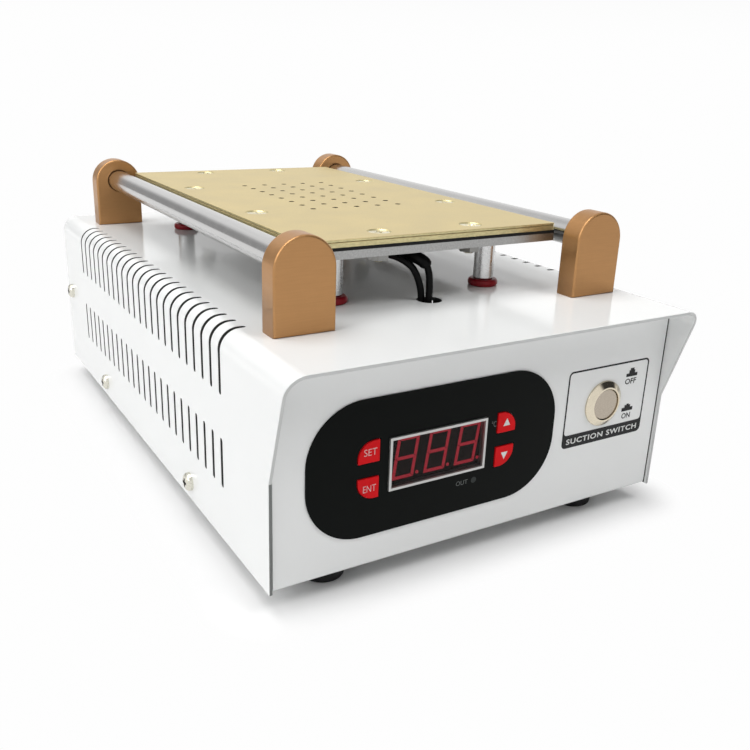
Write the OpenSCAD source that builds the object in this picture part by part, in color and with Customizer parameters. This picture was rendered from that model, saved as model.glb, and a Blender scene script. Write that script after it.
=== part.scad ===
// Screen separator: a heated suction deck on four legs over a sheet-steel casing.
// X runs to the right seen from the front, Y to the back, Z up, and the casing stands on z = 0.

/* [Casing] */
// Width of the casing over its cover
body_w = 170; // [164:1:184]
// Length of the cover's side walls, from the front panel's face to the rear edge
body_l = 262; // [256:1:280]
// Height of the casing without its feet
body_h = 77; // [75:1:90]
// Thickness of the cover's sheet steel
cover_t = 1.2; // [0.8:0.1:1.5]
// Thickness of the tray's sheet steel
tray_t = 1.2; // [0.8:0.1:1.5]
// Outer radius of the bends along the cover's top edges
bend_r = 7; // [4:0.5:9]
// How far the cover's top reaches over the front panel
hood_reach = 13.2; // [8:0.2:18]
// How far the side walls stand ahead of the front panel below the hood
lip_reach = 1.1; // [0.8:0.1:3]
// Height above the casing's bottom at which the side walls start to slant forward
hood_start = 39; // [30:1:50]
// How far the rear panel sits inside the cover's rear edge
rear_inset = 1.5; // [0.5:0.1:3]
// Height of the tray's side flanges
flange_h = 20; // [15:1:24]

/* [Vents] */
// Number of slots in each row
vent_n = 24; // [16:1:24]
// Width of a slot
vent_w = 2.1; // [1.2:0.1:2.4]
// Distance of the first slot from the front panel's face
vent_y = 37.1; // [32:0.1:45]
// Distance of the last slot from the cover's rear edge
vent_rear = 38.7; // [36:0.1:45]
// Height of the lower slots' bottom end above the casing's bottom
vent_low_z = 20.6; // [20:0.2:24]
// Length of a lower slot
vent_low_l = 18.4; // [12:0.2:26]
// Height of the upper slots' bottom end above the casing's bottom
vent_up_z = 54.7; // [50:0.1:58]
// Reach of the upper slots on the top, past the bend
vent_over = 2.5; // [1:0.5:4]

/* [Feet and casing screws] */
// Diameter of a rubber foot at the tray
foot_d = 17.2; // [14:0.2:20]
// Height of a rubber foot
foot_h = 8; // [7:0.5:12]
// Distance of a foot's middle from the casing's side
foot_side = 27; // [22:1:32]
// Distance of a foot's middle from the tray's front or rear
foot_end = 15; // [12:1:20]
// Distance of the front side screws from the front panel's face
side_screw_front = 71; // [60:1:90]
// Height of the side screws above the casing's bottom
side_screw_z = 7.5; // [6:0.5:10]

/* [Front panel] */
// Distance of the black keypad overlay from the panel's left edge
overlay_side = 11; // [9:0.5:14]
// Room to the right of the overlay, for the suction button
overlay_room = 54.2; // [50:0.2:57]
// Height of the black keypad overlay
overlay_h = 48.8; // [44:0.2:52]
// Corner radius of the keypad overlay
overlay_r = 20.5; // [14:0.5:22]
// Height of the overlay's middle above the casing's bottom
overlay_z = 36.1; // [34:0.1:38]
// Width of the silver display frame
window_w = 39.4; // [38:0.2:42]
// Height of the silver display frame
window_h = 19; // [18.4:0.2:21]
// Width of a key
key_w = 7.8; // [7:0.1:9]
// Height of a key
key_h = 7.5; // [7:0.1:9]
// Radius of a key's one round corner
key_r = 6; // [3:0.5:6.5]
// Sideways distance of the keys from the display's middle
key_dx = 28; // [27:0.5:31]
// Distance of the keys above and below the display's middle
key_dz = 6.5; // [6:0.1:7.5]
// Travel of a key
key_travel = 0.4; // [0.2:0.05:0.45]

/* [Suction button] */
// Distance of the button's middle from the panel's right edge
button_side = 29.7; // [25:0.1:33]
// Height of the button above the casing's bottom
button_z = 40.7; // [36:0.1:44]
// Diameter of the button's bezel ring
ring_d = 18; // [17.5:0.5:20]
// Diameter of the threaded barrel
barrel_d = 16; // [15:0.1:16.6]
// Diameter of the button's cap
cap_d = 12.3; // [11:0.1:12.8]
// Travel of the button
button_travel = 2.2; // [1:0.1:2.6]

/* [Deck] */
// Distance from the casing's side to the heated deck
deck_side = 31; // [30:0.5:34]
// Sideways place of the deck's middle
deck_x = -1.6; // [-2:0.2:2]
// Distance of the deck's front edge from the front panel's face
deck_front = 35; // [32:0.5:37]
// Distance of the deck's rear edge from the cover's rear edge
deck_rear = 37; // [35:0.5:42]
// Thickness of the hot plate
plate_t = 2.8; // [2.6:0.1:4]
// Thickness of the heating pad
pad_t = 1.1; // [0.8:0.1:2]
// Thickness of the clamp plate under the pad
clamp_t = 2.9; // [2:0.1:4]
// Diameter of a suction hole
suction_d = 2.2; // [1.2:0.1:3]
// Distance between suction holes
suction_pitch = 10; // [8:0.5:10.5]
// Suction holes across the deck
suction_nx = 5; // [3:1:5]
// Suction holes along the deck
suction_ny = 8; // [4:1:9]
// Diameter of a leg
leg_d = 8; // [7:0.5:9]
// Height of a leg
leg_h = 16.7; // [16:0.1:20]
// Distance of the legs from the deck's sides
leg_in_x = 19.7; // [18:0.1:22]
// Distance of the legs from the deck's ends
leg_in_y = 17; // [16.5:0.5:20]
// Diameter of the red washer under a leg
washer_d = 11.8; // [10:0.2:13]
// Thickness of the red washer under a leg
washer_t = 2.8; // [2:0.1:4]

/* [Rails] */
// Width of a post
post_w = 22; // [19:0.2:23]
// Thickness of a post
post_t = 9.4; // [8:0.1:10]
// Height of a post
post_h = 32; // [29:0.1:36]
// Distance of a post's middle from the casing's side
post_side = 22.7; // [21:0.1:23.5]
// Distance of the front posts from the front panel's face
post_front = 19.9; // [18:0.1:24]
// Distance of the rear posts' rear face from the cover's rear edge
post_rear = 21.4; // [16:0.1:23]
// Diameter of a rail
rail_d = 10; // [8:0.1:11]
// Depth of the rail's socket in a post
socket_l = 6; // [4:0.5:7]

/* [Clearances] */
// Gap around a screw, a stud or a seated piece
fit_gap = 0.15; // [0.1:0.01:0.2]
// Radial gap between a turning or sliding round piece and its bore
run_gap = 0.08; // [0.05:0.01:0.1]
// Gap between a moving piece and what it passes
move_gap = 0.35; // [0.3:0.01:0.4]

/* [Hidden] */

// Cuts run past the faces they open by this much
overrun = 0.5;
// Joined solids of one piece lap by this much
lap = 0.3;
$fn = 48;

// Heights: the casing's bottom and top, and the underside and face of each deck layer
z_body = foot_h;
z_top = foot_h + body_h;
z_roof = z_top - cover_t;
z_floor = z_body + tray_t;
z_clamp = z_top + washer_t + leg_h;
z_pad = z_clamp + clamp_t;
z_plate = z_pad + pad_t;
z_deck = z_plate + plate_t;

// Casing: the space inside the cover, and the tray in it
inner_w = body_w - 2 * cover_t;
panel_gap = 0.6;
panel_w = inner_w - 2 * panel_gap;
tray_l = body_l - rear_inset;
tray_h = body_h - cover_t;
fold_inner = 0.3;
fold_r = tray_t + fold_inner;
return_l = 9;
y_rear = tray_l;
y_inside = y_rear - tray_t;
flange_start = 10;
flange_rear = 14.5;
flange_end = tray_l - flange_rear;
ear_l = 15;
ear_low = 27;
ear_high = 52;
rear_screw_in = 10;
rear_screw_y = body_l - rear_screw_in;
rear_screw_z = 39;
slot_end_share = 0.25;
side_screw_rear = body_l - side_screw_front;
vent_pitch = (body_l - vent_y - vent_rear) / (vent_n - 1);

// Fasteners
m4_d = 4;
m4_head_d = 7.2;
m4_head_h = 2.4;
m3_d = 3;
m3_head_d = 5.5;
m3_head_h = 2;
m4_nut_af = 7;
m4_nut_t = 3.2;
thread_gap = 0.05;
side_screw_l = 7;
foot_screw_l = 8;
recess_share = 0.6;
recess_width_share = 0.16;
recess_depth_share = 0.55;
head_edge_share = 0.25;

// Feet
foot_taper = 0.8;
foot_bore_d = 8.6;
foot_bore_l = 4;

// Overlay, display and keys
overlay_t = 0.5;
overlay_w = panel_w - overlay_side - overlay_room;
overlay_x = (overlay_side - overlay_room) / 2;
display_side = -0.2;
display_drop = 0.3;
display_x = overlay_x + display_side;
display_z = overlay_z - display_drop;
window_side = -0.6;
window_rise = 0.3;
frame_w = 0.9;
frame_proud = 0.8;
frame_seat = 0.4;
frame_back = 0.8;
lens_t = 1;
lens_sink = 0.7;
module_face = 1.1;
module_margin = 0.15;
module_w = window_w - 2 * (frame_w + module_margin);
module_h = window_h - 2 * (frame_w + module_margin);
board_face = 11.2;
board_t = 1.6;
board_margin = 2.6;
board_w = overlay_w - 2 * board_margin;
board_h = 40;
digit_n = 3;
digit_left = 1.25;
digit_right = 0.05;
digit_low = 1.35;
digit_top = 0.65;
digit_gap = 4.2;
digit_slant = 8;
digit_h = module_h - digit_low - digit_top;
digit_lean = digit_h * tan(digit_slant);
digit_w = (module_w - digit_left - digit_right - digit_lean - (digit_n - 1) * digit_gap) / digit_n;
digit_x = (digit_left - digit_right) / 2;
digit_z = (digit_low - digit_top) / 2;
stroke_w = 1.1;
stroke_gap = 0.12;
stroke_t = 0.15;
dot_d = 1.2;
dot_gap = 0.8;
dot_rise = 1.1;
key_proud = 0.4;
key_rim = 1;
key_rim_t = 1;
key_stem_d = 3;
key_stem_end = 6.6;
key_room = 0.4;
key_stop = 0.3;
plunger_d = 3.5;
plunger_face = key_stem_end + key_travel + key_room;
plunger_l = 0.5;
tact_w = 6;
spacer_d = 6;
spacer_in = 4;
spacer_x = board_w / 2 - spacer_in;
spacer_z = 16;
spacer_bore_l = 8;
board_screw_l = 7.5;
relay_size = [19, 15.5, 15.5];
relay_in = 5;
relay_at = [relay_in - board_w / 2, -9];
transformer_size = [30, 22, 24];
transformer_in = 40;
transformer_at = [board_w / 2 - transformer_in, -17];
transformer_core = [34, 10, 28];
socket_size = [10, 6, 8];
socket_at = [11.6, 10];

// Suction button, measured along its own axis from the panel's face
button_x = panel_w / 2 - button_side;
ring_h = 2;
ring_rim = 0.6;
ring_face_d = 14.6;
barrel_l = 22;
cap_proud = 1.6;
cap_l = 7.5;
cap_edge = 0.4;
cap_room = 0.7;
insert_start = cap_l + button_travel + cap_room;
insert_cap_l = 8;
nut_af = 19;
nut_t = 3;
tab_size = [2.8, 6, 0.8];
tab_pitch = 4;
bore_d = cap_d + 2 * run_gap;

// Posts and rails
post_x = body_w / 2 - post_side;
post_span = body_l - post_front - post_rear;
post_edge = 0.6;
rail_lift = 0.8;
z_rail = z_top + post_h - post_w / 2 + rail_lift;
post_bore_l = 13;
post_screw_l = 12;

// Deck
deck_w = body_w - 2 * deck_side;
deck_l = body_l - deck_front - deck_rear;
deck_y = deck_front + deck_l / 2;
leg_dx = deck_w / 2 - leg_in_x;
leg_dy = deck_l / 2 - leg_in_y;
plate_screw_in = 9.6;
plate_screw_x = deck_w / 2 - plate_screw_in;
plate_screw_y = 35;
plate_end_in = 9;
plate_end_share = 0.37;
plate_end_x = plate_end_share * deck_w / 2;
plate_end_y = deck_l / 2 - plate_end_in;
sink_d = 9.4;
plate_head_d = 8.2;
plate_screw_l = 10.4;
pocket_h = 0.8;
pocket_margin = 4;
stud_l = 2.6;
leg_bore_l = 10;
leg_screw_l = 12;
washer_edge = 0.8;
lead_hole_d = 9.6;
lead_hole_x = -0.9;
lead_hole_y = 40.6;
lead_d = 2.6;
lead_port_d = 4.4;

// Suction fitting and hose
fitting_d = 6;
fitting_bore_d = 3.2;
fitting_flange_d = 14;
fitting_flange_t = 1.6;
stem_d = 5;
stem_l = 10;
barb_d = 5.6;
barb_l = 2.6;
hose_d = 8;
hose_bore_d = 5.8;
cuff_l = 10.5;
cuff_wall = 1.2;
hose_gap = 10.8;
hose_hole_d = 10;

// Pump: its axis lies along Y
pump_rear = 11.3;
pump_x = -40;
pump_z = 34;
pump_w = 27;
case_l = 26;
crank_d = 17;
case_wall = 8;
throat_edge = 1;
throat_d = case_l - case_wall - 2 * throat_edge;
cap_h = 10;
diaphragm_d = 18;
diaphragm_t = 1.2;
chamber_d = 15;
chamber_h = 2;
nozzle_x = 6;
nozzle_z = 5.5;
motor_d = 27.6;
motor_l = 32;
motor_wall = 1.4;
shaft_d = 2;
crank_start = 10;
crank_t = 6;
crank_disc_d = 8;
crank_offset = 1.2;
ring_wall = 1.6;
ring_t = 4;
stalk_d = 4;
armature_d = 21;
armature_l = 20;
armature_start = 5;
bracket_l = 16;
bracket_wall = 2.2;
bracket_leg_w = 20;
bracket_foot_w = 46;
bracket_foot_t = 1.6;
bracket_hole_x = 18;
pump_y = y_inside - pump_rear - motor_l - case_l;
bracket_mid_y = pump_y + case_l + motor_l / 2;
throat_y = (case_wall + case_l) / 2;

// Power supply and terminal block
supply_size = [66, 100, 34];
supply_side = 9.8;
supply_x = inner_w / 2 - supply_side - supply_size[0];
supply_wall = 1;
supply_mouth = 14;
supply_hole = 12;
strip_size = [58, 12, 14];
strip_ways = 6;
strip_rib = 1;
strip_rib_h = 3;
block_size = [44, 16, 15];
block_in = 24;
block_x = supply_x - block_in;
block_y = 52;
block_hole_x = 18;
block_pole_x = 9.5;
fixing_screw_l = 6;

// Rear: inlet with its fuse drawer, and the rocker
inlet_side = 35.8;
inlet_x = inner_w / 2 - inlet_side;
inlet_z = 32;
inlet_flange = [50, 2.5, 36];
inlet_body = [27.4, 26, 31];
supply_rear = 34.5;
supply_y = y_rear - inlet_body[1] - supply_rear - supply_size[1];
inlet_collar = [31, 2.5, 23];
inlet_lift = 5.5;
inlet_hole_x = 20;
cavity_w = 24.4;
cavity_h = 16.6;
cavity_l = 19;
cavity_cut = 4;
pin_size = [2, 12, 4];
pin_x = 7;
pin_z = 2;
drawer_size = [21.4, 20, 6.6];
drawer_drop = 11.2;
drawer_lip = 1;
drawer_lip_share = 0.4;
drawer_face_t = 1.2;
fuse_d = 5;
rocker_in = 44;
rocker_x = inlet_x - rocker_in;
rocker_z = 32;
bezel_size = [15, 1.5, 21];
rocker_body = [12.9, 14, 19];
rocker_open_w = 10;
rocker_open_h = 16;
rocker_open_l = 11;
rocker_w = 9.2;
rocker_h = 13.8;
rocker_inner_h = 9;
rocker_face = 2.6;
rocker_tip = 4.2;
rocker_deep = 3;
rocker_pivot = 1.6;
rocker_tilt = 10;
trunnion_d = 2.4;
trunnion_l = 1.1;

// The origin lies under the middle of the whole object's box
y_back = y_rear + inlet_flange[1] + inlet_collar[1];
y_mid = (y_back - hood_reach) / 2;

// A lead starts straight down from the pad, runs under the deck and drops straight through the cover's hole.
// A run lists each point's share of the way across and forward, and its depth under the clamp plate.
heater_in = 15.9;
sensor_in = 23.9;
lead_back = 27;
heater_start = [deck_x - leg_dx + heater_in, deck_front + lead_back];
sensor_start = [deck_x - leg_dx + sensor_in, deck_front + lead_back];
heater_drop = [-4.2, 41.1];
sensor_drop = [-2.15, 39.1];
straight_l = 1.5;
straight_end = 0.3;
hole_above = 1;
hole_below = 5;
heater_run = [[0, 0.04, 1.4], [0.02, 0.14, 2.2], [0.07, 0.24, 2.4], [0.23, 0.53, 2.6], [0.44, 0.81, 3.4],
    [0.64, 0.97, 5.6], [0.8, 1.01, 8.8], [0.93, 1.02, 13.8]];
sensor_run = [[0, 0.04, 1.4], [0.03, 0.14, 2.2], [0.08, 0.24, 2.7], [0.28, 0.54, 2.9], [0.56, 0.8, 3.4],
    [0.84, 0.94, 5.4], [0.96, 0.99, 9], [1, 1, 13.8]];
function way(a, b, share) = a + share * (b - a);
function under_deck(start, drop, run) = concat(
    [for (z = [z_pad, z_pad - straight_l, z_clamp + straight_end]) [start[0], start[1], z]],
    [for (r = run) [way(start[0], drop[0], r[0]), way(start[1], drop[1], r[1]), z_clamp - r[2]]],
    [for (z = [z_top + hole_above, z_top - hole_below]) [drop[0], drop[1], z]]);
// Inside the casing a fall lists the shares across, along and of the height still left
function fall(drop, end, shares) = [
    for (f = shares) [way(drop[0], end[0], f[0]), way(drop[1], end[1], f[1]), way(end[2],
        z_top - hole_below, f[2])]
];
end_step = 3.2;
heater_end = [block_x + block_pole_x, block_y + block_size[1] / 2, z_floor + block_size[2]];
sensor_end = [display_x + socket_at[0], board_face + board_t + socket_size[1],
    z_body + display_z + socket_at[1] + socket_size[2] / 2];
heater_fall = [[0, 0.1, 0.86], [0.1, 0.31, 0.64], [0.35, 0.58, 0.43], [0.75, 0.86, 0.25]];
sensor_fall = [[0.02, 0, 0.69], [0.15, 0.14, 0.37], [0.5, 0.38, 0.14], [0.85, 0.56, 0.02]];
heater_route = concat(under_deck(heater_start, heater_drop, heater_run), fall(heater_drop, heater_end,
    heater_fall),
    [for (i = [2, 1, 0]) heater_end + [0, 0, i * end_step]]);
sensor_route = concat(under_deck(sensor_start, sensor_drop, sensor_run), fall(sensor_drop, sensor_end,
    sensor_fall),
    [for (i = [2, 1, 0]) sensor_end + [0, i * end_step, 0]]);
sleeve_from = 5;
sleeve_to = 7;
sleeve_d = 4.6;
hose_top = 12.8;
hose_in = 0.5;
hose_dip = 30;
hose_run = 28;
hose_steps = 9;
hose_a = [deck_x, deck_y, z_top - hose_in];
hose_d_end = [pump_x + nozzle_x, pump_y - hose_gap, pump_z + pump_w / 2 + nozzle_z];
hose_b = hose_a - [0, 0, hose_dip];
hose_c = hose_d_end - [0, hose_run, 0];
hose_route = concat([[deck_x, deck_y, z_clamp - hose_top]], [
    for (i = [0 : hose_steps]) let (t = i / hose_steps, u = 1 - t)
        u * u * u * hose_a + 3 * u * u * t * hose_b + 3 * u * t * t * hose_c + t * t * t * hose_d_end
]);

// Solids that run along an axis: the outline's X and Y become X and Z, or Y and Z
module along_y(start, length) {
    translate([0, start + length, 0]) rotate([90, 0, 0]) linear_extrude(length) children();
}
module along_x(start, length) {
    translate([start, 0, 0]) rotate([90, 0, 90]) linear_extrude(length) children();
}
module rod_y(d, start, length) {
    translate([0, start, 0]) rotate([-90, 0, 0]) cylinder(d = d, h = length);
}
module block(low, high) {
    translate(low) cube(high - low);
}
module centred_box(size) {
    translate([-size[0] / 2, 0, -size[2] / 2]) cube(size);
}
module both_sides() {
    children();
    mirror([1, 0, 0]) children();
}
module place() {
    translate([0, -y_mid, 0]) children();
}

// A screw: its head lies below z = 0, its shank above, and the head has a cross recess
module pan_screw(d, head_d, head_h, length) {
    edge = head_h * head_edge_share;
    recess_l = head_d * recess_share;
    recess_w = head_d * recess_width_share;
    recess_h = head_h * recess_depth_share;
    cylinder(d = d, h = length);
    difference() {
        rotate_extrude()
            polygon([[0, -head_h], [head_d / 2 - edge, -head_h], [head_d / 2, -head_h + edge],
                [head_d / 2, 0], [0, 0]]);
        for (turn = [0, 90])
            rotate(turn)
                block([-recess_l / 2, -recess_w / 2, -head_h - overrun], [recess_l / 2, recess_w / 2,
                    recess_h - head_h]);
    }
}
module m4_screw(length) {
    pan_screw(m4_d, m4_head_d, m4_head_h, length);
}
module m3_screw(length) {
    pan_screw(m3_d, m3_head_d, m3_head_h, length);
}
module hex_nut(across, t, bore) {
    difference() {
        cylinder(r = across / 2 / cos(30), h = t, $fn = 6);
        translate([0, 0, -overrun]) cylinder(d = bore, h = t + 2 * overrun);
    }
}

// The section of a bend, one quarter of a ring, in the first quadrant
module bend_section(r, t) {
    intersection() {
        difference() {
            circle(r);
            circle(r - t);
        }
        square(r);
    }
}
// A rectangle with four round corners
module rounded_outline(w, h, r) {
    square([w - 2 * r, h], center = true);
    for (side = [-1, 1])
        translate([side * (w - r) / 2, 0]) square([r, h - 2 * r], center = true);
    for (side = [-1, 1], level = [-1, 1])
        translate([side * (w / 2 - r), level * (h / 2 - r)])
            intersection() {
                circle(r);
                translate([(side - 1) * r / 2, (level - 1) * r / 2]) square(r);
            }
}

// A tube swept along a list of points, with one diameter per ring
function unit(v) = v / norm(v);
function curve_at(p, i, t) =
    let (n = len(p) - 1, a = p[max(i - 1, 0)], b = p[i], c = p[min(i + 1, n)], d = p[min(i + 2, n)])
    (2 * b + (c - a) * t + (2 * a - 5 * b + 4 * c - d) * t * t + (3 * b - a - 3 * c + d) * t * t * t) / 2;
function smooth(p, steps) = [
    for (i = [0 : len(p) - 2]) for (k = [0 : steps - 1]) curve_at(p, i, k / steps),
    p[len(p) - 1]
];
function heading(p, i) = unit(p[min(i + 1, len(p) - 1)] - p[max(i - 1, 0)]);
function turned(side, ahead) = unit(side - (side * ahead) * ahead);
function sides_of(p, i, side) =
    i == len(p) ? [] : let (s = turned(side, heading(p, i))) concat([s], sides_of(p, i + 1, s));
module sweep(p, widths, sides) {
    n = len(p);
    s = sides_of(p, 0, [1, 0, 0]);
    points = [
        for (i = [0 : n - 1]) let (u = s[i], v = cross(heading(p, i), u))
            for (k = [0 : sides - 1])
                p[i] + widths[i] / 2 * (cos(360 * k / sides) * u + sin(360 * k / sides) * v)
    ];
    walls = [
        for (i = [0 : n - 2]) for (k = [0 : sides - 1])
            let (a = i * sides + k, b = i * sides + (k + 1) % sides)
                each [[a, b + sides, b], [a, a + sides, b + sides]]
    ];
    first = [for (k = [1 : sides - 2]) [0, k, k + 1]];
    last = [for (k = [1 : sides - 2]) [(n - 1) * sides, (n - 1) * sides + k + 1, (n - 1) * sides + k]];
    polyhedron(points = points, faces = concat(walls, first, last));
}

// Casing
module tray_section() {
    translate([fold_r, 0]) square([tray_l - 2 * fold_r, tray_t]);
    translate([0, fold_r]) square([tray_t, tray_h - 2 * fold_r]);
    translate([tray_l - tray_t, fold_r]) square([tray_t, tray_h - 2 * fold_r]);
    translate([fold_r, tray_h - tray_t]) square([return_l - fold_r, tray_t]);
    translate([tray_l - return_l, tray_h - tray_t]) square([return_l - fold_r, tray_t]);
    translate([fold_r, fold_r]) rotate(180) bend_section(fold_r, tray_t);
    translate([tray_l - fold_r, fold_r]) rotate(270) bend_section(fold_r, tray_t);
    translate([fold_r, tray_h - fold_r]) rotate(90) bend_section(fold_r, tray_t);
    translate([tray_l - fold_r, tray_h - fold_r]) bend_section(fold_r, tray_t);
}
// The panels' upper corners are round, to stay clear of the cover's bends
module panel_outline() {
    r = bend_r - cover_t;
    translate([-panel_w / 2, 0]) square([panel_w, tray_h - r]);
    translate([-panel_w / 2 + r, tray_h - r]) square([panel_w - 2 * r, r]);
    for (side = [0, 1])
        mirror([side, 0]) translate([panel_w / 2 - r, tray_h - r]) intersection() {
            circle(r);
            square(r);
        }
}
module tray_sheet() {
    intersection() {
        along_x(-panel_w / 2, panel_w) translate([0, z_body]) tray_section();
        along_y(-overrun, tray_l + 2 * overrun) translate([0, z_body]) panel_outline();
    }
    both_sides() {
        block([inner_w / 2 - tray_t, flange_start, z_body], [inner_w / 2, flange_end, z_body + flange_h]);
        block([inner_w / 2 - tray_t, y_rear - ear_l, z_body + ear_low],
            [inner_w / 2, y_rear, z_body + ear_high]);
    }
}
module foot_places() {
    for (side = [-1, 1], y = [foot_end, tray_l - foot_end])
        translate([side * (body_w / 2 - foot_side), y, 0]) children();
}
module side_screw_places() {
    both_sides() {
        for (y = [side_screw_front, side_screw_rear])
            translate([body_w / 2, y, z_body + side_screw_z]) rotate([0, -90, 0]) children();
        translate([body_w / 2, rear_screw_y, z_body + rear_screw_z]) rotate([0, -90, 0]) children();
    }
}
module fixing_places() {
    for (side = [-1, 1])
        translate([pump_x + side * bracket_hole_x, bracket_mid_y, z_floor + bracket_foot_t]) children();
    for (side = [-1, 1])
        translate([block_x + side * block_hole_x, block_y + block_size[1] / 2, z_floor + strip_rib_h])
            children();
    for (end = [supply_hole, supply_size[1] - supply_hole])
        translate([supply_x + supply_size[0] / 2, supply_y + end, z_floor + supply_wall]) children();
}
module m3_hole() {
    translate([0, 0, -fixing_screw_l]) cylinder(d = m3_d + 2 * fit_gap, h = 2 * fixing_screw_l);
}
module m4_hole() {
    translate([0, 0, -side_screw_l]) cylinder(d = m4_d + 2 * fit_gap, h = 2 * side_screw_l);
}
module at_display() {
    translate([display_x, z_body + display_z]) children();
}
module at_key(side, level) {
    at_display() translate([side * key_dx, level * key_dz]) children();
}
module at_window() {
    at_display() translate([window_side, window_rise]) children();
}
module window_hole() {
    at_window() square([window_w - 2 * (frame_seat - fit_gap), window_h - 2 * (frame_seat - fit_gap)],
        center = true);
}
// A key's outline: a rectangle with its outer corner, away from the display, round
module key_outline(side, level, grow) {
    w = key_w + 2 * grow;
    h = key_h + 2 * grow;
    r = key_r + grow;
    mirror([side < 0 ? 1 : 0, 0]) mirror([0, level < 0 ? 1 : 0]) {
        translate([-w / 2, -h / 2]) square([w, h - r]);
        translate([-w / 2, h / 2 - r]) square([w - r, r]);
        translate([w / 2 - r, h / 2 - r]) intersection() {
            circle(r);
            square(r);
        }
    }
}
module panel_openings() {
    window_hole();
    for (side = [-1, 1], level = [-1, 1])
        at_key(side, level) key_outline(side, level, move_gap);
}
module inlet_hole() {
    square([inlet_body[0] + 2 * fit_gap, inlet_body[2] + 2 * fit_gap], center = true);
}
module base_tray() {
    color("whitesmoke") difference() {
        tray_sheet();
        along_y(-overrun, tray_t + 2 * overrun) panel_openings();
        translate([button_x, 0, z_body + button_z]) rod_y(barrel_d + 2 * fit_gap, -overrun,
            tray_t + 2 * overrun);
        foot_places() translate([0, 0, z_body]) m4_hole();
        side_screw_places() m4_hole();
        fixing_places() m3_hole();
        along_y(y_inside - overrun, tray_t + 2 * overrun) {
            translate([inlet_x, z_body + inlet_z]) inlet_hole();
            translate([rocker_x, z_body + rocker_z])
                square([rocker_body[0] + 2 * fit_gap, rocker_body[2] + 2 * fit_gap], center = true);
        }
        for (side = [-1, 1])
            translate([inlet_x + side * inlet_hole_x, 0, z_body + inlet_z])
                rod_y(m3_d + 2 * fit_gap, y_inside - overrun, tray_t + 2 * overrun);
    }
}

// The cover's section across its width, as the outline of the folded sheet
module cover_section() {
    translate([-body_w / 2 + bend_r, body_h - cover_t]) square([body_w - 2 * bend_r, cover_t]);
    for (side = [0, 1])
        mirror([side, 0]) {
            translate([body_w / 2 - cover_t, 0]) square([cover_t, body_h - bend_r]);
            translate([body_w / 2 - bend_r, body_h - bend_r]) bend_section(bend_r, cover_t);
        }
}
// A slot's outline, upright from y = 0, with its ends nearly round
module slot_outline(length, round_top) {
    cut = vent_w * slot_end_share;
    top = round_top ? cut : 0;
    polygon([[-vent_w / 2 + cut, 0], [vent_w / 2 - cut, 0], [vent_w / 2, cut], [vent_w / 2, length - top],
        [vent_w / 2 - top, length], [-vent_w / 2 + top, length], [-vent_w / 2, length - top],
            [-vent_w / 2, cut]]);
}
module vent_slots() {
    wall_x = body_w / 2 - bend_r;
    for (i = [0 : vent_n - 1]) {
        y = vent_y + i * vent_pitch;
        along_x(body_w / 2 - cover_t - overrun, cover_t + 2 * overrun)
            translate([y, z_body + vent_low_z]) slot_outline(vent_low_l, true);
        along_x(wall_x, bend_r + overrun)
            translate([y, z_body + vent_up_z]) slot_outline(body_h - vent_up_z + overrun, false);
        translate([wall_x - vent_over, y, z_top - bend_r]) rotate([0, 0, -90])
            linear_extrude(bend_r + overrun) slot_outline(vent_over + lap, false);
    }
}
module post_places(front, rear) {
    for (side = [-1, 1], y = concat(front ? [post_front + post_t / 2] : [],
            rear ? [post_front + post_span - post_t / 2] : []))
        translate([side * post_x, y, z_top]) children();
}
module leg_places() {
    for (side = [-1, 1], end = [-1, 1])
        translate([deck_x + side * leg_dx, deck_y + end * leg_dy, z_top]) children();
}
module top_cover() {
    slant = (hood_reach - lip_reach) / (body_h - hood_start);
    reach = hood_reach + slant * overrun;
    color("white") difference() {
        along_y(-hood_reach, hood_reach + body_l) translate([0, z_body]) cover_section();
        along_x(-body_w / 2 - overrun, body_w + 2 * overrun)
            polygon([[-hood_reach - overrun, z_body - overrun], [-lip_reach, z_body - overrun],
                [-lip_reach, z_body + hood_start], [-reach, z_top + overrun],
                [-reach - overrun, z_top + overrun]]);
        both_sides() vent_slots();
        side_screw_places() m4_hole();
        post_places(true, true) m4_hole();
        leg_places() m4_hole();
        translate([lead_hole_x, lead_hole_y, z_roof - overrun]) cylinder(d = lead_hole_d,
            h = cover_t + 2 * overrun);
        translate([deck_x, deck_y, z_roof - overrun]) cylinder(d = hose_hole_d, h = cover_t + 2 * overrun);
    }
}
module cover_screws() {
    color("silver") side_screw_places() m4_screw(side_screw_l);
}
module rubber_feet() {
    color("black") foot_places() difference() {
        cylinder(d1 = foot_d - 2 * foot_taper, d2 = foot_d, h = foot_h);
        translate([0, 0, -overrun]) cylinder(d = foot_bore_d, h = foot_bore_l + overrun);
        cylinder(d = m4_d + 2 * fit_gap, h = foot_h + overrun);
    }
}
module foot_screws() {
    color("silver") foot_places() translate([0, 0, foot_bore_l]) m4_screw(foot_screw_l);
}

// Display and keypad
module keypad_overlay() {
    color("black") along_y(-overlay_t, overlay_t) difference() {
        translate([overlay_x, z_body + overlay_z]) rounded_outline(overlay_w, overlay_h, overlay_r);
        panel_openings();
    }
}
module frame_ring(outer_in) {
    at_window() difference() {
        square([window_w - 2 * outer_in, window_h - 2 * outer_in], center = true);
        square([window_w - 2 * frame_w, window_h - 2 * frame_w], center = true);
    }
}
module display_frame() {
    color("silver") {
        along_y(-overlay_t - frame_proud, frame_proud) frame_ring(0);
        along_y(-overlay_t, overlay_t + tray_t + frame_back) frame_ring(frame_seat);
    }
}
module display_window() {
    w = window_w - 2 * (frame_w + fit_gap);
    h = window_h - 2 * (frame_w + fit_gap);
    color("dimgray", 0.4) along_y(-overlay_t - frame_proud + lens_sink, lens_t) at_window() square([w,
        h], center = true);
}
module display_module() {
    color("#181010") along_y(module_face, board_face - module_face) at_window()
        square([module_w, module_h], center = true);
}
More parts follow.
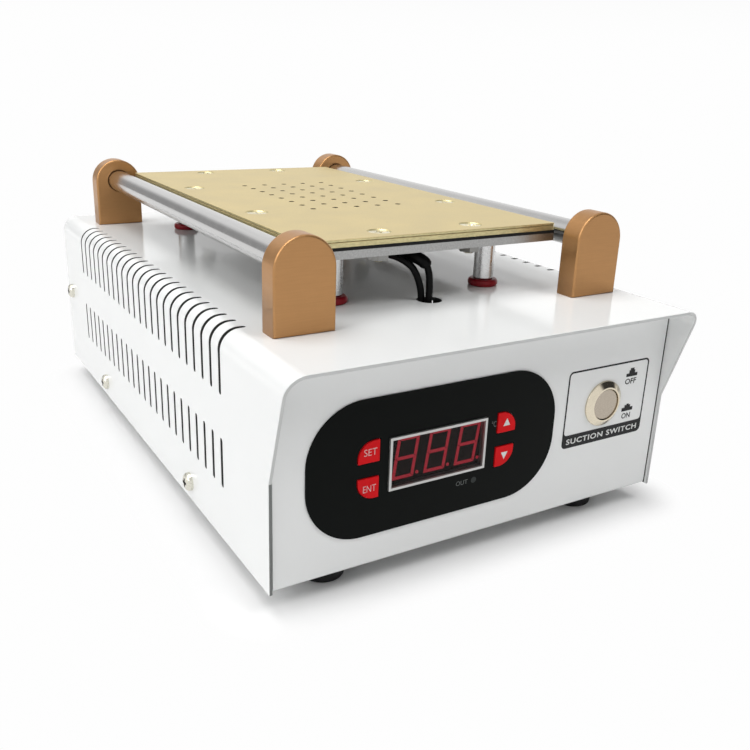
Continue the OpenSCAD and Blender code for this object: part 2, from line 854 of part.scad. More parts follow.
// The strokes of a digit lean with its slant and meet in mitres, with a thin gap between them
function lean(p) = [p[0] + p[1] * tan(digit_slant), p[1]];
module stroke(points, side, level) {
    polygon([for (p = points) lean([side * p[0], level * p[1]])]);
}
module digit_strokes() {
    w = digit_w / 2;
    h = digit_h / 2;
    s = stroke_w;
    g = stroke_gap;
    m = w - s / 2;
    stroke([[g - m, 0], [g - m + s / 2, s / 2], [m - s / 2 - g, s / 2], [m - g, 0],
        [m - s / 2 - g, -s / 2], [g - m + s / 2, -s / 2]], 1, 1);
    for (level = [-1, 1]) {
        stroke([[g - w, h], [w - g, h], [w - s - g, h - s], [s + g - w, h - s]], 1, level);
        for (side = [-1, 1])
            stroke([[w, g], [w, h - g], [w - s, h - s - g], [w - s, s / 2 + g], [m, g]], side, level);
    }
    translate(lean([w + dot_gap + dot_d / 2, dot_rise - h])) circle(d = dot_d);
}
module display_segments() {
    color("red") along_y(module_face - stroke_t, stroke_t) at_window()
        for (i = [0 : digit_n - 1])
            translate([digit_x + (i - (digit_n - 1) / 2) * (digit_w + digit_gap), digit_z]) digit_strokes();
}
module key(side, level) {
    color("red") {
        along_y(-overlay_t - key_proud, overlay_t + key_proud + tray_t + key_stop)
            at_key(side, level) key_outline(side, level, 0);
        along_y(tray_t + key_stop, key_rim_t) at_key(side, level) key_outline(side, level, key_rim);
        along_y(tray_t + key_stop, key_stem_end - tray_t - key_stop) at_key(side, level)
            circle(d = key_stem_d);
    }
}
module key_switches() {
    color("dimgray") for (side = [-1, 1], level = [-1, 1]) {
        along_y(plunger_face + plunger_l, board_face - plunger_face - plunger_l)
            at_key(side, level) square(tact_w, center = true);
        along_y(plunger_face, plunger_l + lap) at_key(side, level) circle(d = plunger_d);
    }
}
module spacer_places() {
    for (side = [-1, 1], level = [-1, 1])
        translate([display_x + side * spacer_x, 0, z_body + display_z + level * spacer_z]) children();
}
module control_board() {
    color("darkgreen") difference() {
        along_y(board_face, board_t) at_display() square([board_w, board_h], center = true);
        spacer_places() rod_y(m3_d + 2 * fit_gap, board_face - overrun, board_t + 2 * overrun);
    }
}
module board_spacers() {
    color("silver") spacer_places() difference() {
        rod_y(spacer_d, tray_t, board_face - tray_t);
        rod_y(m3_d + 2 * thread_gap, board_face - spacer_bore_l, spacer_bore_l + overrun);
    }
}
module board_screws() {
    color("silver") spacer_places() translate([0, board_face + board_t, 0]) rotate([90, 0, 0])
        m3_screw(board_screw_l);
}
module on_board(at) {
    translate([display_x + at[0], board_face + board_t, z_body + display_z + at[1]]) children();
}
module board_relay() {
    color("royalblue") on_board(relay_at) cube(relay_size);
}
module board_transformer() {
    color("goldenrod") on_board(transformer_at) cube(transformer_size);
    color("dimgray") on_board(transformer_at)
        translate((transformer_size - transformer_core) / 2) cube(transformer_core);
}
module sensor_socket() {
    color("ivory") on_board(socket_at) translate([-socket_size[0] / 2, 0, 0]) cube(socket_size);
}

// Suction button
module at_button() {
    translate([button_x, 0, z_body + button_z]) rotate([-90, 0, 0]) children();
}
module button_bezel() {
    color("lightgray") at_button() rotate_extrude()
        polygon([[bore_d / 2, -ring_h], [ring_face_d / 2, -ring_h], [ring_d / 2, -ring_rim],
            [ring_d / 2, 0],
            [barrel_d / 2, 0], [barrel_d / 2, barrel_l], [bore_d / 2, barrel_l]]);
}
module button_nut() {
    color("gray") at_button() translate([0, 0, tray_t]) hex_nut(nut_af, nut_t, barrel_d + 2 * thread_gap);
}
module button_cap() {
    color("tan") at_button() rotate_extrude()
        polygon([[0, -cap_proud], [cap_d / 2 - cap_edge, -cap_proud], [cap_d / 2, -cap_proud + cap_edge],
            [cap_d / 2, cap_l], [0, cap_l]]);
}
module button_body() {
    color("black") at_button() {
        translate([0, 0, insert_start]) cylinder(d = bore_d - 2 * thread_gap,
            h = barrel_l - insert_start + lap);
        translate([0, 0, barrel_l]) cylinder(d = barrel_d, h = insert_cap_l);
        for (i = [-1 : 1])
            translate([i * tab_pitch, 0, barrel_l + insert_cap_l - lap])
                translate([-tab_size[0] / 2, -tab_size[2] / 2, 0]) cube([tab_size[0], tab_size[2],
                    tab_size[1] + lap]);
    }
}

// Posts and rails
module post(socket_in_back) {
    r = post_w / 2;
    e = post_edge;
    color("peru") translate([0, -post_t / 2, 0]) difference() {
        union() {
            linear_extrude(post_h - r)
                polygon([[-r + e, 0], [r - e, 0], [r, e], [r, post_t - e], [r - e, post_t], [-r + e,
                    post_t],
                    [-r, post_t - e], [-r, e]]);
            translate([0, post_t, post_h - r]) rotate([90, 0, 0]) rotate_extrude(angle = 180)
                polygon([[0, 0], [r - e, 0], [r, e], [r, post_t - e], [r - e, post_t], [0, post_t]]);
        }
        translate([0, 0, post_h - r + rail_lift])
            rod_y(rail_d + 2 * thread_gap, socket_in_back ? post_t - socket_l : -overrun,
                socket_l + overrun);
        translate([0, post_t / 2, -overrun]) cylinder(d = m4_d + 2 * thread_gap, h = post_bore_l + overrun);
    }
}
module front_post(side) {
    translate([side * post_x, post_front + post_t / 2, z_top]) post(true);
}
module back_post(side) {
    translate([side * post_x, post_front + post_span - post_t / 2, z_top]) post(false);
}
module post_screws() {
    color("silver") post_places(true, true) translate([0, 0, -cover_t]) m4_screw(post_screw_l);
}
module rail(side) {
    color("lightgray") translate([side * post_x, 0, z_rail])
        rod_y(rail_d, post_front + post_t - socket_l + fit_gap,
            post_span - 2 * (post_t - socket_l + fit_gap));
}

// Deck
module deck_slab(z, t) {
    block([deck_x - deck_w / 2, deck_y - deck_l / 2, z], [deck_x + deck_w / 2, deck_y + deck_l / 2, z + t]);
}
module plate_screw_places(z) {
    for (side = [-1, 1], end = [-1, 1]) {
        translate([deck_x + side * plate_end_x, deck_y + end * plate_end_y, z]) children();
        translate([deck_x + side * plate_screw_x, deck_y + end * plate_screw_y, z]) children();
    }
}
module layer_holes(z, t) {
    plate_screw_places(z - overrun) cylinder(d = m4_d + 2 * fit_gap, h = t + 2 * overrun);
}
module hot_plate() {
    span_x = (suction_nx - 1) * suction_pitch;
    span_y = (suction_ny - 1) * suction_pitch;
    sink_h = (sink_d - m4_d) / 2 - fit_gap;
    color("darkkhaki") difference() {
        deck_slab(z_plate, plate_t);
        layer_holes(z_plate, plate_t);
        plate_screw_places(z_deck - sink_h)
            cylinder(d1 = m4_d + 2 * fit_gap, d2 = sink_d + 2 * overrun, h = sink_h + overrun);
        translate([deck_x, deck_y, 0])
            block([-span_x / 2 - pocket_margin, -span_y / 2 - pocket_margin, z_plate - overrun],
                [span_x / 2 + pocket_margin, span_y / 2 + pocket_margin, z_plate + pocket_h]);
        for (i = [0 : suction_nx - 1], j = [0 : suction_ny - 1])
            translate([deck_x - span_x / 2 + i * suction_pitch,
                deck_y - span_y / 2 + j * suction_pitch, z_plate])
                cylinder(d = suction_d, h = plate_t + overrun);
    }
}
module heater_pad() {
    color("black") difference() {
        deck_slab(z_pad, pad_t);
        layer_holes(z_pad, pad_t);
        translate([deck_x, deck_y, z_pad - overrun]) cylinder(d = fitting_d + 2 * fit_gap,
            h = pad_t + 2 * overrun);
    }
}
module clamp_plate() {
    color("gray") difference() {
        deck_slab(z_clamp, clamp_t);
        layer_holes(z_clamp, clamp_t);
        leg_places() translate([0, 0, z_clamp - z_top - overrun])
            cylinder(d = m4_d + 2 * thread_gap, h = clamp_t + 2 * overrun);
        translate([deck_x, deck_y, z_clamp - overrun]) cylinder(d = fitting_d + 2 * fit_gap,
            h = clamp_t + 2 * overrun);
        for (route = [heater_route, sensor_route])
            translate([route[0][0], route[0][1], z_clamp - overrun]) cylinder(d = lead_port_d,
                h = clamp_t + 2 * overrun);
    }
}
module plate_screws() {
    head_h = (plate_head_d - m4_d) / 2;
    sunk = (sink_d - plate_head_d) / 2 - fit_gap;
    recess_l = plate_head_d * recess_share;
    recess_w = plate_head_d * recess_width_share;
    color("gold") plate_screw_places(z_deck - sunk) difference() {
        rotate_extrude()
            polygon([[0, 0], [plate_head_d / 2, 0], [m4_d / 2, -head_h], [m4_d / 2, -plate_screw_l],
                [0, -plate_screw_l]]);
        for (turn = [0, 90])
            rotate(turn)
                block([-recess_l / 2, -recess_w / 2, -head_h * recess_depth_share], [recess_l / 2,
                    recess_w / 2, overrun]);
    }
}
module plate_nuts() {
    color("dimgray") plate_screw_places(z_clamp - m4_nut_t) hex_nut(m4_nut_af, m4_nut_t,
        m4_d + 2 * thread_gap);
}
module deck_legs() {
    color("darkgray") leg_places() translate([0, 0, washer_t]) difference() {
        union() {
            cylinder(d = leg_d, h = leg_h);
            translate([0, 0, leg_h - lap]) cylinder(d = m4_d, h = stud_l + lap);
        }
        translate([0, 0, -overrun]) cylinder(d = m4_d + 2 * thread_gap, h = leg_bore_l + overrun);
    }
}
module leg_washers() {
    r = washer_d / 2;
    hole = m4_d / 2 + fit_gap;
    e = washer_edge;
    color("crimson") leg_places() rotate_extrude()
        polygon([[hole, 0], [r - e, 0], [r, e], [r, washer_t - e], [r - e, washer_t], [hole, washer_t]]);
}
module leg_screws() {
    color("silver") leg_places() translate([0, 0, -cover_t]) m4_screw(leg_screw_l);
}

// Suction path
module barbed_stem() {
    cylinder(d = stem_d, h = stem_l);
    for (i = [1, 2])
        translate([0, 0, stem_l - i * barb_l - barb_l / 2]) cylinder(d1 = barb_d, d2 = stem_d, h = barb_l);
}
module suction_fitting() {
    color("goldenrod") translate([deck_x, deck_y, z_clamp]) difference() {
        union() {
            cylinder(d = fitting_d, h = clamp_t + pad_t);
            translate([0, 0, -fitting_flange_t]) cylinder(d = fitting_flange_d, h = fitting_flange_t);
            translate([0, 0, -fitting_flange_t]) mirror([0, 0, 1]) barbed_stem();
        }
        translate([0, 0, -fitting_flange_t - stem_l - overrun])
            cylinder(d = fitting_bore_d, h = fitting_flange_t + stem_l + clamp_t + pad_t + 2 * overrun);
    }
}
// A hose end that sits over a stem: the bore opens towards +Z
module hose_cuff() {
    difference() {
        cylinder(d = hose_d, h = cuff_l);
        translate([0, 0, cuff_wall]) cylinder(d = hose_bore_d, h = cuff_l);
    }
}
module suction_hose() {
    start = hose_route[0];
    end = hose_route[len(hose_route) - 1];
    line = smooth(hose_route, 2);
    color("gainsboro") {
        translate([start[0], start[1], start[2] - lap]) hose_cuff();
        translate([end[0], end[1] - lap, end[2]]) rotate([-90, 0, 0]) hose_cuff();
        sweep(line, [for (p = line) hose_d - lap], 12);
    }
}
module heater_lead() {
    line = smooth(heater_route, 2);
    color("black") sweep(line, [for (p = line) lead_d], 8);
}
module sensor_lead() {
    line = smooth(sensor_route, 2);
    color("black")
        sweep(line, [for (i = [0 : len(line) - 1])
            i >= 2 * sleeve_from && i <= 2 * sleeve_to ? sleeve_d : lead_d], 8);
}
module terminal_block() {
    x = block_size[0] / 2;
    color("ivory") translate([block_x, block_y, z_floor]) difference() {
        union() {
            block([-x, 0, 0], [x, block_size[1], strip_rib_h]);
            block([-x + block_size[1] / 2, 0, 0], [x - block_size[1] / 2, block_size[1], block_size[2]]);
        }
        for (side = [-1, 1])
            translate([side * block_hole_x, block_size[1] / 2, 0]) m3_hole();
    }
}

// Pump
module at_pump() {
    translate([pump_x, pump_y, pump_z]) children();
}
module pump_case() {
    color("dimgray") at_pump() difference() {
        block([-pump_w / 2, 0, -pump_w / 2], [pump_w / 2, case_l, pump_w / 2]);
        rod_y(crank_d, case_wall, case_l);
        translate([0, (case_wall + case_l) / 2, 0]) cylinder(d = throat_d, h = pump_w);
    }
}
module pump_cap() {
    color("black") at_pump() translate([0, 0, pump_w / 2]) {
        difference() {
            block([-pump_w / 2, 0, 0], [pump_w / 2, case_l, cap_h]);
            translate([0, throat_y, -overrun]) {
                cylinder(d = diaphragm_d + 2 * fit_gap, h = diaphragm_t + overrun);
                cylinder(d = chamber_d, h = diaphragm_t + chamber_h + overrun);
            }
            for (side = [-1, 1])
                translate([side * nozzle_x, 0, nozzle_z]) rod_y(fitting_bore_d / 2, -overrun, throat_y);
        }
        for (side = [-1, 1])
            translate([side * nozzle_x, lap, nozzle_z]) rotate([90, 0, 0]) difference() {
                cylinder(d = stem_d, h = stem_l);
                translate([0, 0, -overrun]) cylinder(d = fitting_bore_d / 2, h = stem_l + 2 * overrun);
            }
    }
}
module pump_diaphragm() {
    ring_bore = crank_disc_d + 2 * (crank_offset + move_gap);
    ring_outer = ring_bore + 2 * ring_wall;
    color("saddlebrown") at_pump() translate([0, throat_y, 0]) {
        translate([0, 0, pump_w / 2]) cylinder(d = diaphragm_d, h = diaphragm_t);
        translate([0, 0, ring_outer / 2 - lap]) cylinder(d = stalk_d, h = (pump_w - ring_outer)
            / 2 + 2 * lap);
        difference() {
            rod_y(ring_outer, -ring_t / 2, ring_t);
            rod_y(ring_bore, -ring_t / 2 - overrun, ring_t + 2 * overrun);
        }
    }
}
module pump_rotor() {
    color("silver") at_pump() {
        rod_y(shaft_d, crank_start, case_l + motor_l - crank_start - motor_wall / 2);
        translate([0, 0, crank_offset]) rod_y(crank_disc_d, throat_y - crank_t / 2, crank_t);
        rod_y(armature_d, case_l + armature_start, armature_l);
    }
}
module pump_motor_can() {
    color("lightgray") at_pump() translate([0, case_l, 0]) difference() {
        rod_y(motor_d, 0, motor_l);
        rod_y(motor_d - 2 * motor_wall, motor_wall, motor_l - 2 * motor_wall);
        rod_y(shaft_d + 2 * run_gap, -overrun, motor_l + overrun);
    }
}
module pump_bracket() {
    drop = pump_z - z_floor;
    color("silver") difference() {
        translate([pump_x, 0, pump_z]) along_y(bracket_mid_y - bracket_l / 2, bracket_l) difference() {
            union() {
                circle(d = motor_d + 2 * (thread_gap + bracket_wall));
                translate([-bracket_leg_w / 2, -drop]) square([bracket_leg_w, drop]);
                translate([-bracket_foot_w / 2, -drop]) square([bracket_foot_w, bracket_foot_t]);
            }
            circle(d = motor_d + 2 * thread_gap);
        }
        for (side = [-1, 1])
            translate([pump_x + side * bracket_hole_x, bracket_mid_y, z_floor]) m3_hole();
    }
}

// Power supply
module power_supply_case() {
    size = supply_size;
    w = supply_wall;
    color("silver") translate([supply_x, supply_y, z_floor]) difference() {
        cube(size);
        block([w, w, w], [size[0] - w, size[1] - w, size[2] - w]);
        block([w, -overrun, w], [size[0] - w, w + overrun, size[2] - w]);
        block([w, -overrun, supply_wall + strip_size[2]], [size[0] - w, supply_mouth, size[2] + overrun]);
        for (end = [supply_hole, size[1] - supply_hole])
            translate([size[0] / 2, end, 0]) m3_hole();
    }
}
module power_supply_terminals() {
    size = strip_size;
    step = (size[0] - strip_rib) / strip_ways;
    color("black") translate([supply_x + (supply_size[0] - size[0]) / 2, supply_y - size[1] / 2,
        z_floor + supply_wall]) {
        cube([size[0], size[1], size[2] - strip_rib_h]);
        for (i = [0 : strip_ways])
            translate([i * step, 0, size[2] - strip_rib_h - lap]) cube([strip_rib, size[1], strip_rib_h]);
    }
}

// Rear panel
module at_inlet() {
    translate([inlet_x, y_rear, z_body + inlet_z]) children();
}
module cavity_outline() {
    w = cavity_w / 2;
    h = cavity_h / 2;
    polygon([[-w, -h], [w, -h], [w, h - cavity_cut], [w - cavity_cut, h], [-w + cavity_cut, h], [-w,
        h - cavity_cut]]);
}
module mains_inlet() {
    mouth = inlet_flange[1] + inlet_collar[1];
    color("#202020") at_inlet() difference() {
        union() {
            centred_box(inlet_flange);
            translate([0, 0, inlet_lift]) centred_box([inlet_collar[0], mouth, inlet_collar[2]]);
            translate([0, -inlet_body[1], 0]) centred_box([inlet_body[0], inlet_body[1] + lap,
                inlet_body[2]]);
        }
        along_y(mouth - cavity_l, cavity_l + overrun) translate([0, inlet_lift]) cavity_outline();
        translate([0, inlet_flange[1] - drawer_face_t - drawer_size[1] - move_gap, -drawer_drop])
            centred_box([drawer_size[0] + 2 * move_gap, drawer_size[1] + drawer_face_t + move_gap + overrun,
                drawer_size[2] + 2 * move_gap]);
        for (side = [-1, 1])
            translate([side * inlet_hole_x, 0, 0]) {
                rod_y(m3_d + 2 * fit_gap, -overrun, inlet_flange[1] + 2 * overrun);
                translate([0, inlet_flange[1] - m3_head_h, 0]) rod_y(m3_head_d + 2 * fit_gap, 0,
                    m3_head_h + overrun);
            }
    }
    color("silver") at_inlet() for (i = [-1 : 1])
        translate([i * pin_x, mouth - cavity_l - lap, inlet_lift + (i == 0 ? pin_z : -pin_z)])
            centred_box([pin_size[0], pin_size[1] + lap, pin_size[2]]);
}
module fuse_drawer() {
    face = inlet_flange[1];
    color("black") at_inlet() translate([0, face - drawer_face_t - drawer_size[1], -drawer_drop])
        difference() {
        union() {
            centred_box([drawer_size[0], drawer_size[1] + drawer_face_t, drawer_size[2]]);
            translate([0, drawer_size[1] + drawer_face_t - lap, 0])
                centred_box([drawer_size[0] * drawer_lip_share, drawer_lip + lap,
                    drawer_size[2] * drawer_lip_share]);
        }
        translate([0, drawer_face_t, drawer_size[2] / 2])
            centred_box([fuse_d, drawer_size[1] - 2 * drawer_face_t, drawer_size[2]]);
    }
}
module inlet_screws() {
    color("silver") at_inlet() for (side = [-1, 1])
        translate([side * inlet_hole_x, inlet_flange[1] - m3_head_h, 0]) rotate([90, 0, 0])
            m3_screw(fixing_screw_l);
}
module at_rocker() {
    translate([rocker_x, y_rear, z_body + rocker_z]) children();
}
module rocker_frame() {
    color("#202020") at_rocker() {
        difference() {
            union() {
                centred_box(bezel_size);
                translate([0, -rocker_body[1], 0]) centred_box([rocker_body[0], rocker_body[1] + lap,
                    rocker_body[2]]);
            }
            translate([0, bezel_size[1] - rocker_open_l, 0])
                centred_box([rocker_open_w, rocker_open_l + overrun, rocker_open_h]);
            translate([0, -rocker_pivot, 0]) rotate([0, 90, 0])
                cylinder(d = trunnion_d + 2 * run_gap, h = rocker_open_w + 2 * (trunnion_l + fit_gap),
                    center = true);
        }
        for (level = [-1, 1])
            translate([0, -rocker_body[1] - tab_size[1], level * tab_pitch])
                centred_box([tab_size[0], tab_size[1] + lap, tab_size[2]]);
    }
}
module rocker_switch() {
    h = rocker_h / 2;
    inner = rocker_inner_h / 2;
    color("#303030") at_rocker() translate([0, -rocker_pivot, 0]) rotate([-rocker_tilt, 0, 0]) {
        along_x(-rocker_w / 2, rocker_w)
            polygon([[-rocker_deep, -inner], [0, -h], [rocker_tip, -h], [rocker_face, 0], [rocker_tip,
                h], [0, h],
                [-rocker_deep, inner]]);
        rotate([0, 90, 0]) cylinder(d = trunnion_d, h = rocker_w + 2 * (move_gap + trunnion_l),
            center = true);
    }
}
module fixing_screws() {
    color("silver") fixing_places() mirror([0, 0, 1]) m3_screw(fixing_screw_l);
}

place() base_tray();
place() top_cover();
place() cover_screws();
place() rubber_feet();
place() foot_screws();
place() keypad_overlay();
place() display_frame();
place() display_window();
place() display_module();
place() display_segments();
place() key(-1, 1);  // key_set
place() key(-1, -1);  // key_enter
place() key(1, 1);  // key_up
place() key(1, -1);  // key_down
place() key_switches();
place() control_board();
place() board_spacers();
place() board_screws();
place() board_relay();
place() board_transformer();
place() sensor_socket();
place() button_bezel();
place() button_nut();
place() button_cap();
place() button_body();
place() front_post(-1);  // post_front_left
place() front_post(1);  // post_front_right
place() back_post(-1);  // post_back_left
place() back_post(1);  // post_back_right
place() post_screws();
place() rail(-1);  // rail_left
place() rail(1);  // rail_right
place() hot_plate();
place() heater_pad();
place() clamp_plate();
place() plate_screws();
place() plate_nuts();
place() deck_legs();
place() leg_washers();
place() leg_screws();
place() suction_fitting();
place() suction_hose();
place() heater_lead();
place() sensor_lead();
place() terminal_block();
place() pump_case();
place() pump_cap();
place() pump_diaphragm();
place() pump_rotor();
place() pump_motor_can();
place() pump_bracket();
place() power_supply_case();
place() power_supply_terminals();
place() mains_inlet();
place() fuse_drawer();
place() inlet_screws();
place() rocker_frame();
place() rocker_switch();
place() fixing_screws();
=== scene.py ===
"""A screen separator: a heated suction deck between two guide rails, over a white sheet-steel casing.

Lengths in the sections are millimetres, and in_frame turns them into Blender's metres. X runs to the
right seen from the front, Y is measured back from the front panel's face, and Z up from the bench.
"""
from math import acos, cos, pi, radians, sin, tan

import bmesh
import bpy
from mathutils import Matrix, Vector


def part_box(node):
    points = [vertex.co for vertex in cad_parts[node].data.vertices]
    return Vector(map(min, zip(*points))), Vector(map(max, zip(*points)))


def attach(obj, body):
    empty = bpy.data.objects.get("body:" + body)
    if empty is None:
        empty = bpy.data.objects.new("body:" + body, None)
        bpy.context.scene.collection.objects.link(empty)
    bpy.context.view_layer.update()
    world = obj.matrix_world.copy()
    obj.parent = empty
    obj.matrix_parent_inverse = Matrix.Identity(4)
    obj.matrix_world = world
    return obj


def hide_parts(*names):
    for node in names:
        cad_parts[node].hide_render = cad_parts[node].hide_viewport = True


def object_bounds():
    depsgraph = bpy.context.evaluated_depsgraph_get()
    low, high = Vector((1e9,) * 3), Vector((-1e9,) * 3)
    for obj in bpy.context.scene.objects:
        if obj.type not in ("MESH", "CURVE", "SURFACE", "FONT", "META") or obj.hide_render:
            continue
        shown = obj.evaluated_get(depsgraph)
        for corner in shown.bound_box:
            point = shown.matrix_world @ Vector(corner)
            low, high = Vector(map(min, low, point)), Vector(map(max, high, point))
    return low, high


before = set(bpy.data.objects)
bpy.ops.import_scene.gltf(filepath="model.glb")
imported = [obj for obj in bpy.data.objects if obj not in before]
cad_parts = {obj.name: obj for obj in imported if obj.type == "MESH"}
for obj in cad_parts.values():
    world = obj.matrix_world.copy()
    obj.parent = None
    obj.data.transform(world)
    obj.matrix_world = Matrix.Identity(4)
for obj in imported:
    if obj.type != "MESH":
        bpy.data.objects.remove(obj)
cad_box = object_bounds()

# The camera stands at the front left, a little above the deck, as a hand-held camera would.
view_turn = radians(-31.61)
view_rise = radians(19.92)
view_roll = radians(2.09)
away = Vector((sin(view_turn) * cos(view_rise), -cos(view_turn) * cos(view_rise), sin(view_rise)))
level = Vector((0, 0, 1)).cross(away).normalized()
upright = away.cross(level)
across = level * cos(view_roll) + upright * sin(view_roll)
upward = upright * cos(view_roll) - level * sin(view_roll)
camera = bpy.data.objects.new("camera", bpy.data.cameras.new("camera"))
camera.data.lens = 41.0
camera.data.sensor_width = 36.0
camera.data.clip_start = 0.01
camera_place = Matrix.Translation((-0.1786, -0.33795, 0.1661))
camera.matrix_world = camera_place @ Matrix((across, upward, away)).transposed().to_4x4()
bpy.context.scene.collection.objects.link(camera)
bpy.context.scene.camera = camera

# The studio is a pale floor under three large soft lamps, in a white room with two dim ends that
# metal mirrors. The floor takes the casing's shadow and runs out into plain white further away.
def set_inputs(tree, node, inputs):
    """Plug values or other nodes' sockets into a node's inputs, and give the node back."""
    for name, value in inputs.items():
        socket = node.inputs[name]
        if isinstance(value, bpy.types.NodeSocket):
            tree.links.new(value, socket)
        elif socket.type == "RGBA":
            socket.default_value = (*value, 1)
        else:
            socket.default_value = value
    return node


def put(tree, kind, inputs=None, **settings):
    """Place a shader node with its settings and inputs."""
    node = tree.nodes.new("ShaderNode" + kind)
    for name, value in settings.items():
        setattr(node, name, value)
    return set_inputs(tree, node, inputs or {})


def reckon(tree, operation, *values):
    """A number worked out from others."""
    return put(tree, "Math", dict(enumerate(values)), operation=operation).outputs[0]


def reckon_vector(tree, operation, *values):
    """A vector worked out from others, or the number that such an operation gives."""
    outputs = put(tree, "VectorMath", dict(enumerate(values)), operation=operation).outputs
    return outputs["Value" if operation in ("LENGTH", "DOT_PRODUCT") else "Vector"]


def span(tree, value, low, high, from_low=0.0, from_high=1.0, kind="LINEAR"):
    """Map a value from one range to another."""
    inputs = {"Value": value, "From Min": from_low, "From Max": from_high, "To Min": low, "To Max": high}
    return put(tree, "MapRange", inputs, interpolation_type=kind).outputs[0]


def new_material(name):
    """A material of that name, its node tree and its Principled shader."""
    material = bpy.data.materials.new(name)
    material.use_nodes = True
    return material, material.node_tree, material.node_tree.nodes["Principled BSDF"]


floor_reach = 4.0
floor_mesh = bpy.data.meshes.new("floor")
floor_corners = [(x * floor_reach, y * floor_reach, 0) for x, y in ((-1, -1), (1, -1), (1, 1), (-1, 1))]
floor_mesh.from_pydata(floor_corners, [], [(0, 1, 2, 3)])
floor = bpy.data.objects.new("floor", floor_mesh)
bpy.context.scene.collection.objects.link(floor)
floor_white, tree, shader = new_material("floor white")
set_inputs(tree, shader, {"Base Color": (0.9, 0.9, 0.9), "Roughness": 0.6})
# The shadow is left out gradually over these distances from a rectangle a little inside the casing's foot
shadow_ends = (0.002, 0.026)
inside_foot = 0.008
footprint = (cad_box[1][0] - inside_foot, -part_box("base_tray")[0].y - inside_foot, 0)
where = put(tree, "NewGeometry").outputs["Position"]
outward = reckon_vector(tree, "SUBTRACT", reckon_vector(tree, "ABSOLUTE", where), footprint)
distance = reckon_vector(tree, "LENGTH", reckon_vector(tree, "MAXIMUM", outward, (0, 0, 0)))
far = span(tree, distance, 0, 1, *shadow_ends, "SMOOTHSTEP")
glow = put(tree, "Emission", {"Color": (1, 1, 1), "Strength": 0.99}).outputs[0]
rays = put(tree, "LightPath").outputs
seen = reckon(tree, "MAXIMUM", rays["Is Camera Ray"], rays["Is Glossy Ray"])
share = reckon(tree, "MULTIPLY", far, seen)
mixed = put(tree, "MixShader", {0: share, 1: shader.outputs[0], 2: glow}).outputs[0]
tree.links.new(mixed, tree.nodes["Material Output"].inputs["Surface"])
floor_mesh.materials.append(floor_white)

world = bpy.data.worlds.new("studio")
bpy.context.scene.world = world
world.use_nodes = True
tree = world.node_tree
rays = put(tree, "LightPath").outputs
mirrored = reckon(tree, "MAXIMUM", rays["Is Glossy Ray"], rays["Is Transmission Ray"])
direction = put(tree, "TexCoord").outputs["Generated"]
rise = put(tree, "SeparateXYZ", {0: direction}).outputs["Z"]


def dimmed(room_so_far, towards, start, end, least):
    """The room made darker round one direction."""
    nearness = reckon_vector(tree, "DOT_PRODUCT", direction, Vector(towards).normalized())
    return reckon(tree, "MULTIPLY", room_so_far, span(tree, nearness, 1.0, least, start, end, "SMOOTHSTEP"))


room = span(tree, rise, 0.95, 0.6, 0.45, 0.85, "SMOOTHSTEP")
room = dimmed(room, (0.75, -0.5, 0.43), start=0.80, end=0.94, least=0.05)
room = dimmed(room, (-0.4, 0.91, 0.0), start=0.86, end=0.97, least=0.4)
room_light = 0.23
backdrop = span(tree, rise, 0.99, 0.9, 0.02, 0.2, "SMOOTHSTEP")
strength = put(tree, "Mix", {0: mirrored, 2: room_light, 3: room}).outputs[0]
strength = put(tree, "Mix", {0: rays["Is Camera Ray"], 2: strength, 3: backdrop}).outputs[0]
set_inputs(tree, tree.nodes["Background"], {"Color": (1, 1, 1), "Strength": strength})


def lamp(name, place, size, power, mirrored_too=True, aim=(0, 0, 0.05)):
    """A large square soft lamp that shines from its place towards the object."""
    light = bpy.data.lights.new(name, "AREA")
    light.size = size
    light.energy = power
    stand = bpy.data.objects.new(name, light)
    stand.location = place
    stand.rotation_euler = (Vector(aim) - Vector(place)).to_track_quat("-Z", "Y").to_euler()
    stand.visible_glossy = mirrored_too
    bpy.context.scene.collection.objects.link(stand)


lamp("left lamp", (-1.25, -0.2, 0.9), size=0.9, power=8.6)
lamp("overhead lamp", (-0.35, 0.12, 1.35), size=0.8, power=10.2)
lamp("front lamp", (0.45, -0.75, 1.35), size=0.6, power=7.3, mirrored_too=False)
bpy.context.scene.view_settings.view_transform = "Standard"


# The cover is one sheet of steel, punched with its slots and folded over two bends, and coated white.
# Its top reaches forward as a hood over the front panel, and its walls slant to meet it.
mm = 0.001
panel_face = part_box("base_tray")[0].y


def in_frame(x, y, z):
    """A place in millimetres, with Y from the front panel's face, as metres in the part's frame."""
    return Vector((x * mm, panel_face + y * mm, z * mm))


def from_frame(node):
    """A node's lowest and highest corner in the sections' millimetres."""
    return [Vector((p.x, p.y - panel_face, p.z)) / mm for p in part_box(node)]


def fit(piece, slot, *materials, body="casing", replaces=None):
    """Give a piece its materials, its body and the node that it stands for; the slot is not used."""
    for material in materials:
        piece.data.materials.append(material)
    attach(piece, body)
    if replaces:
        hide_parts(replaces)


def new_piece(name, points, faces, normals=None):
    """A smooth-shaded mesh object; normals holds one normal per point."""
    mesh = bpy.data.meshes.new(name)
    mesh.from_pydata(points, [], faces)
    mesh.polygons.foreach_set("use_smooth", [True] * len(mesh.polygons))
    if normals:
        mesh.normals_split_custom_set_from_vertices([n.normalized() for n in normals])
    piece = bpy.data.objects.new(name, mesh)
    bpy.context.scene.collection.objects.link(piece)
    return piece


def leftwards(loop):
    """For each point of a closed outline, the mitred step that moves it one millimetre to its left."""
    steps = []
    for i, here in enumerate(loop):
        before = (here - loop[i - 1]).normalized()
        after = (loop[(i + 1) % len(loop)] - here).normalized()
        a = Vector((-before.y, before.x))
        b = Vector((-after.y, after.x))
        steps.append((a + b) / max(1 + a.dot(b), 0.3))
    return steps


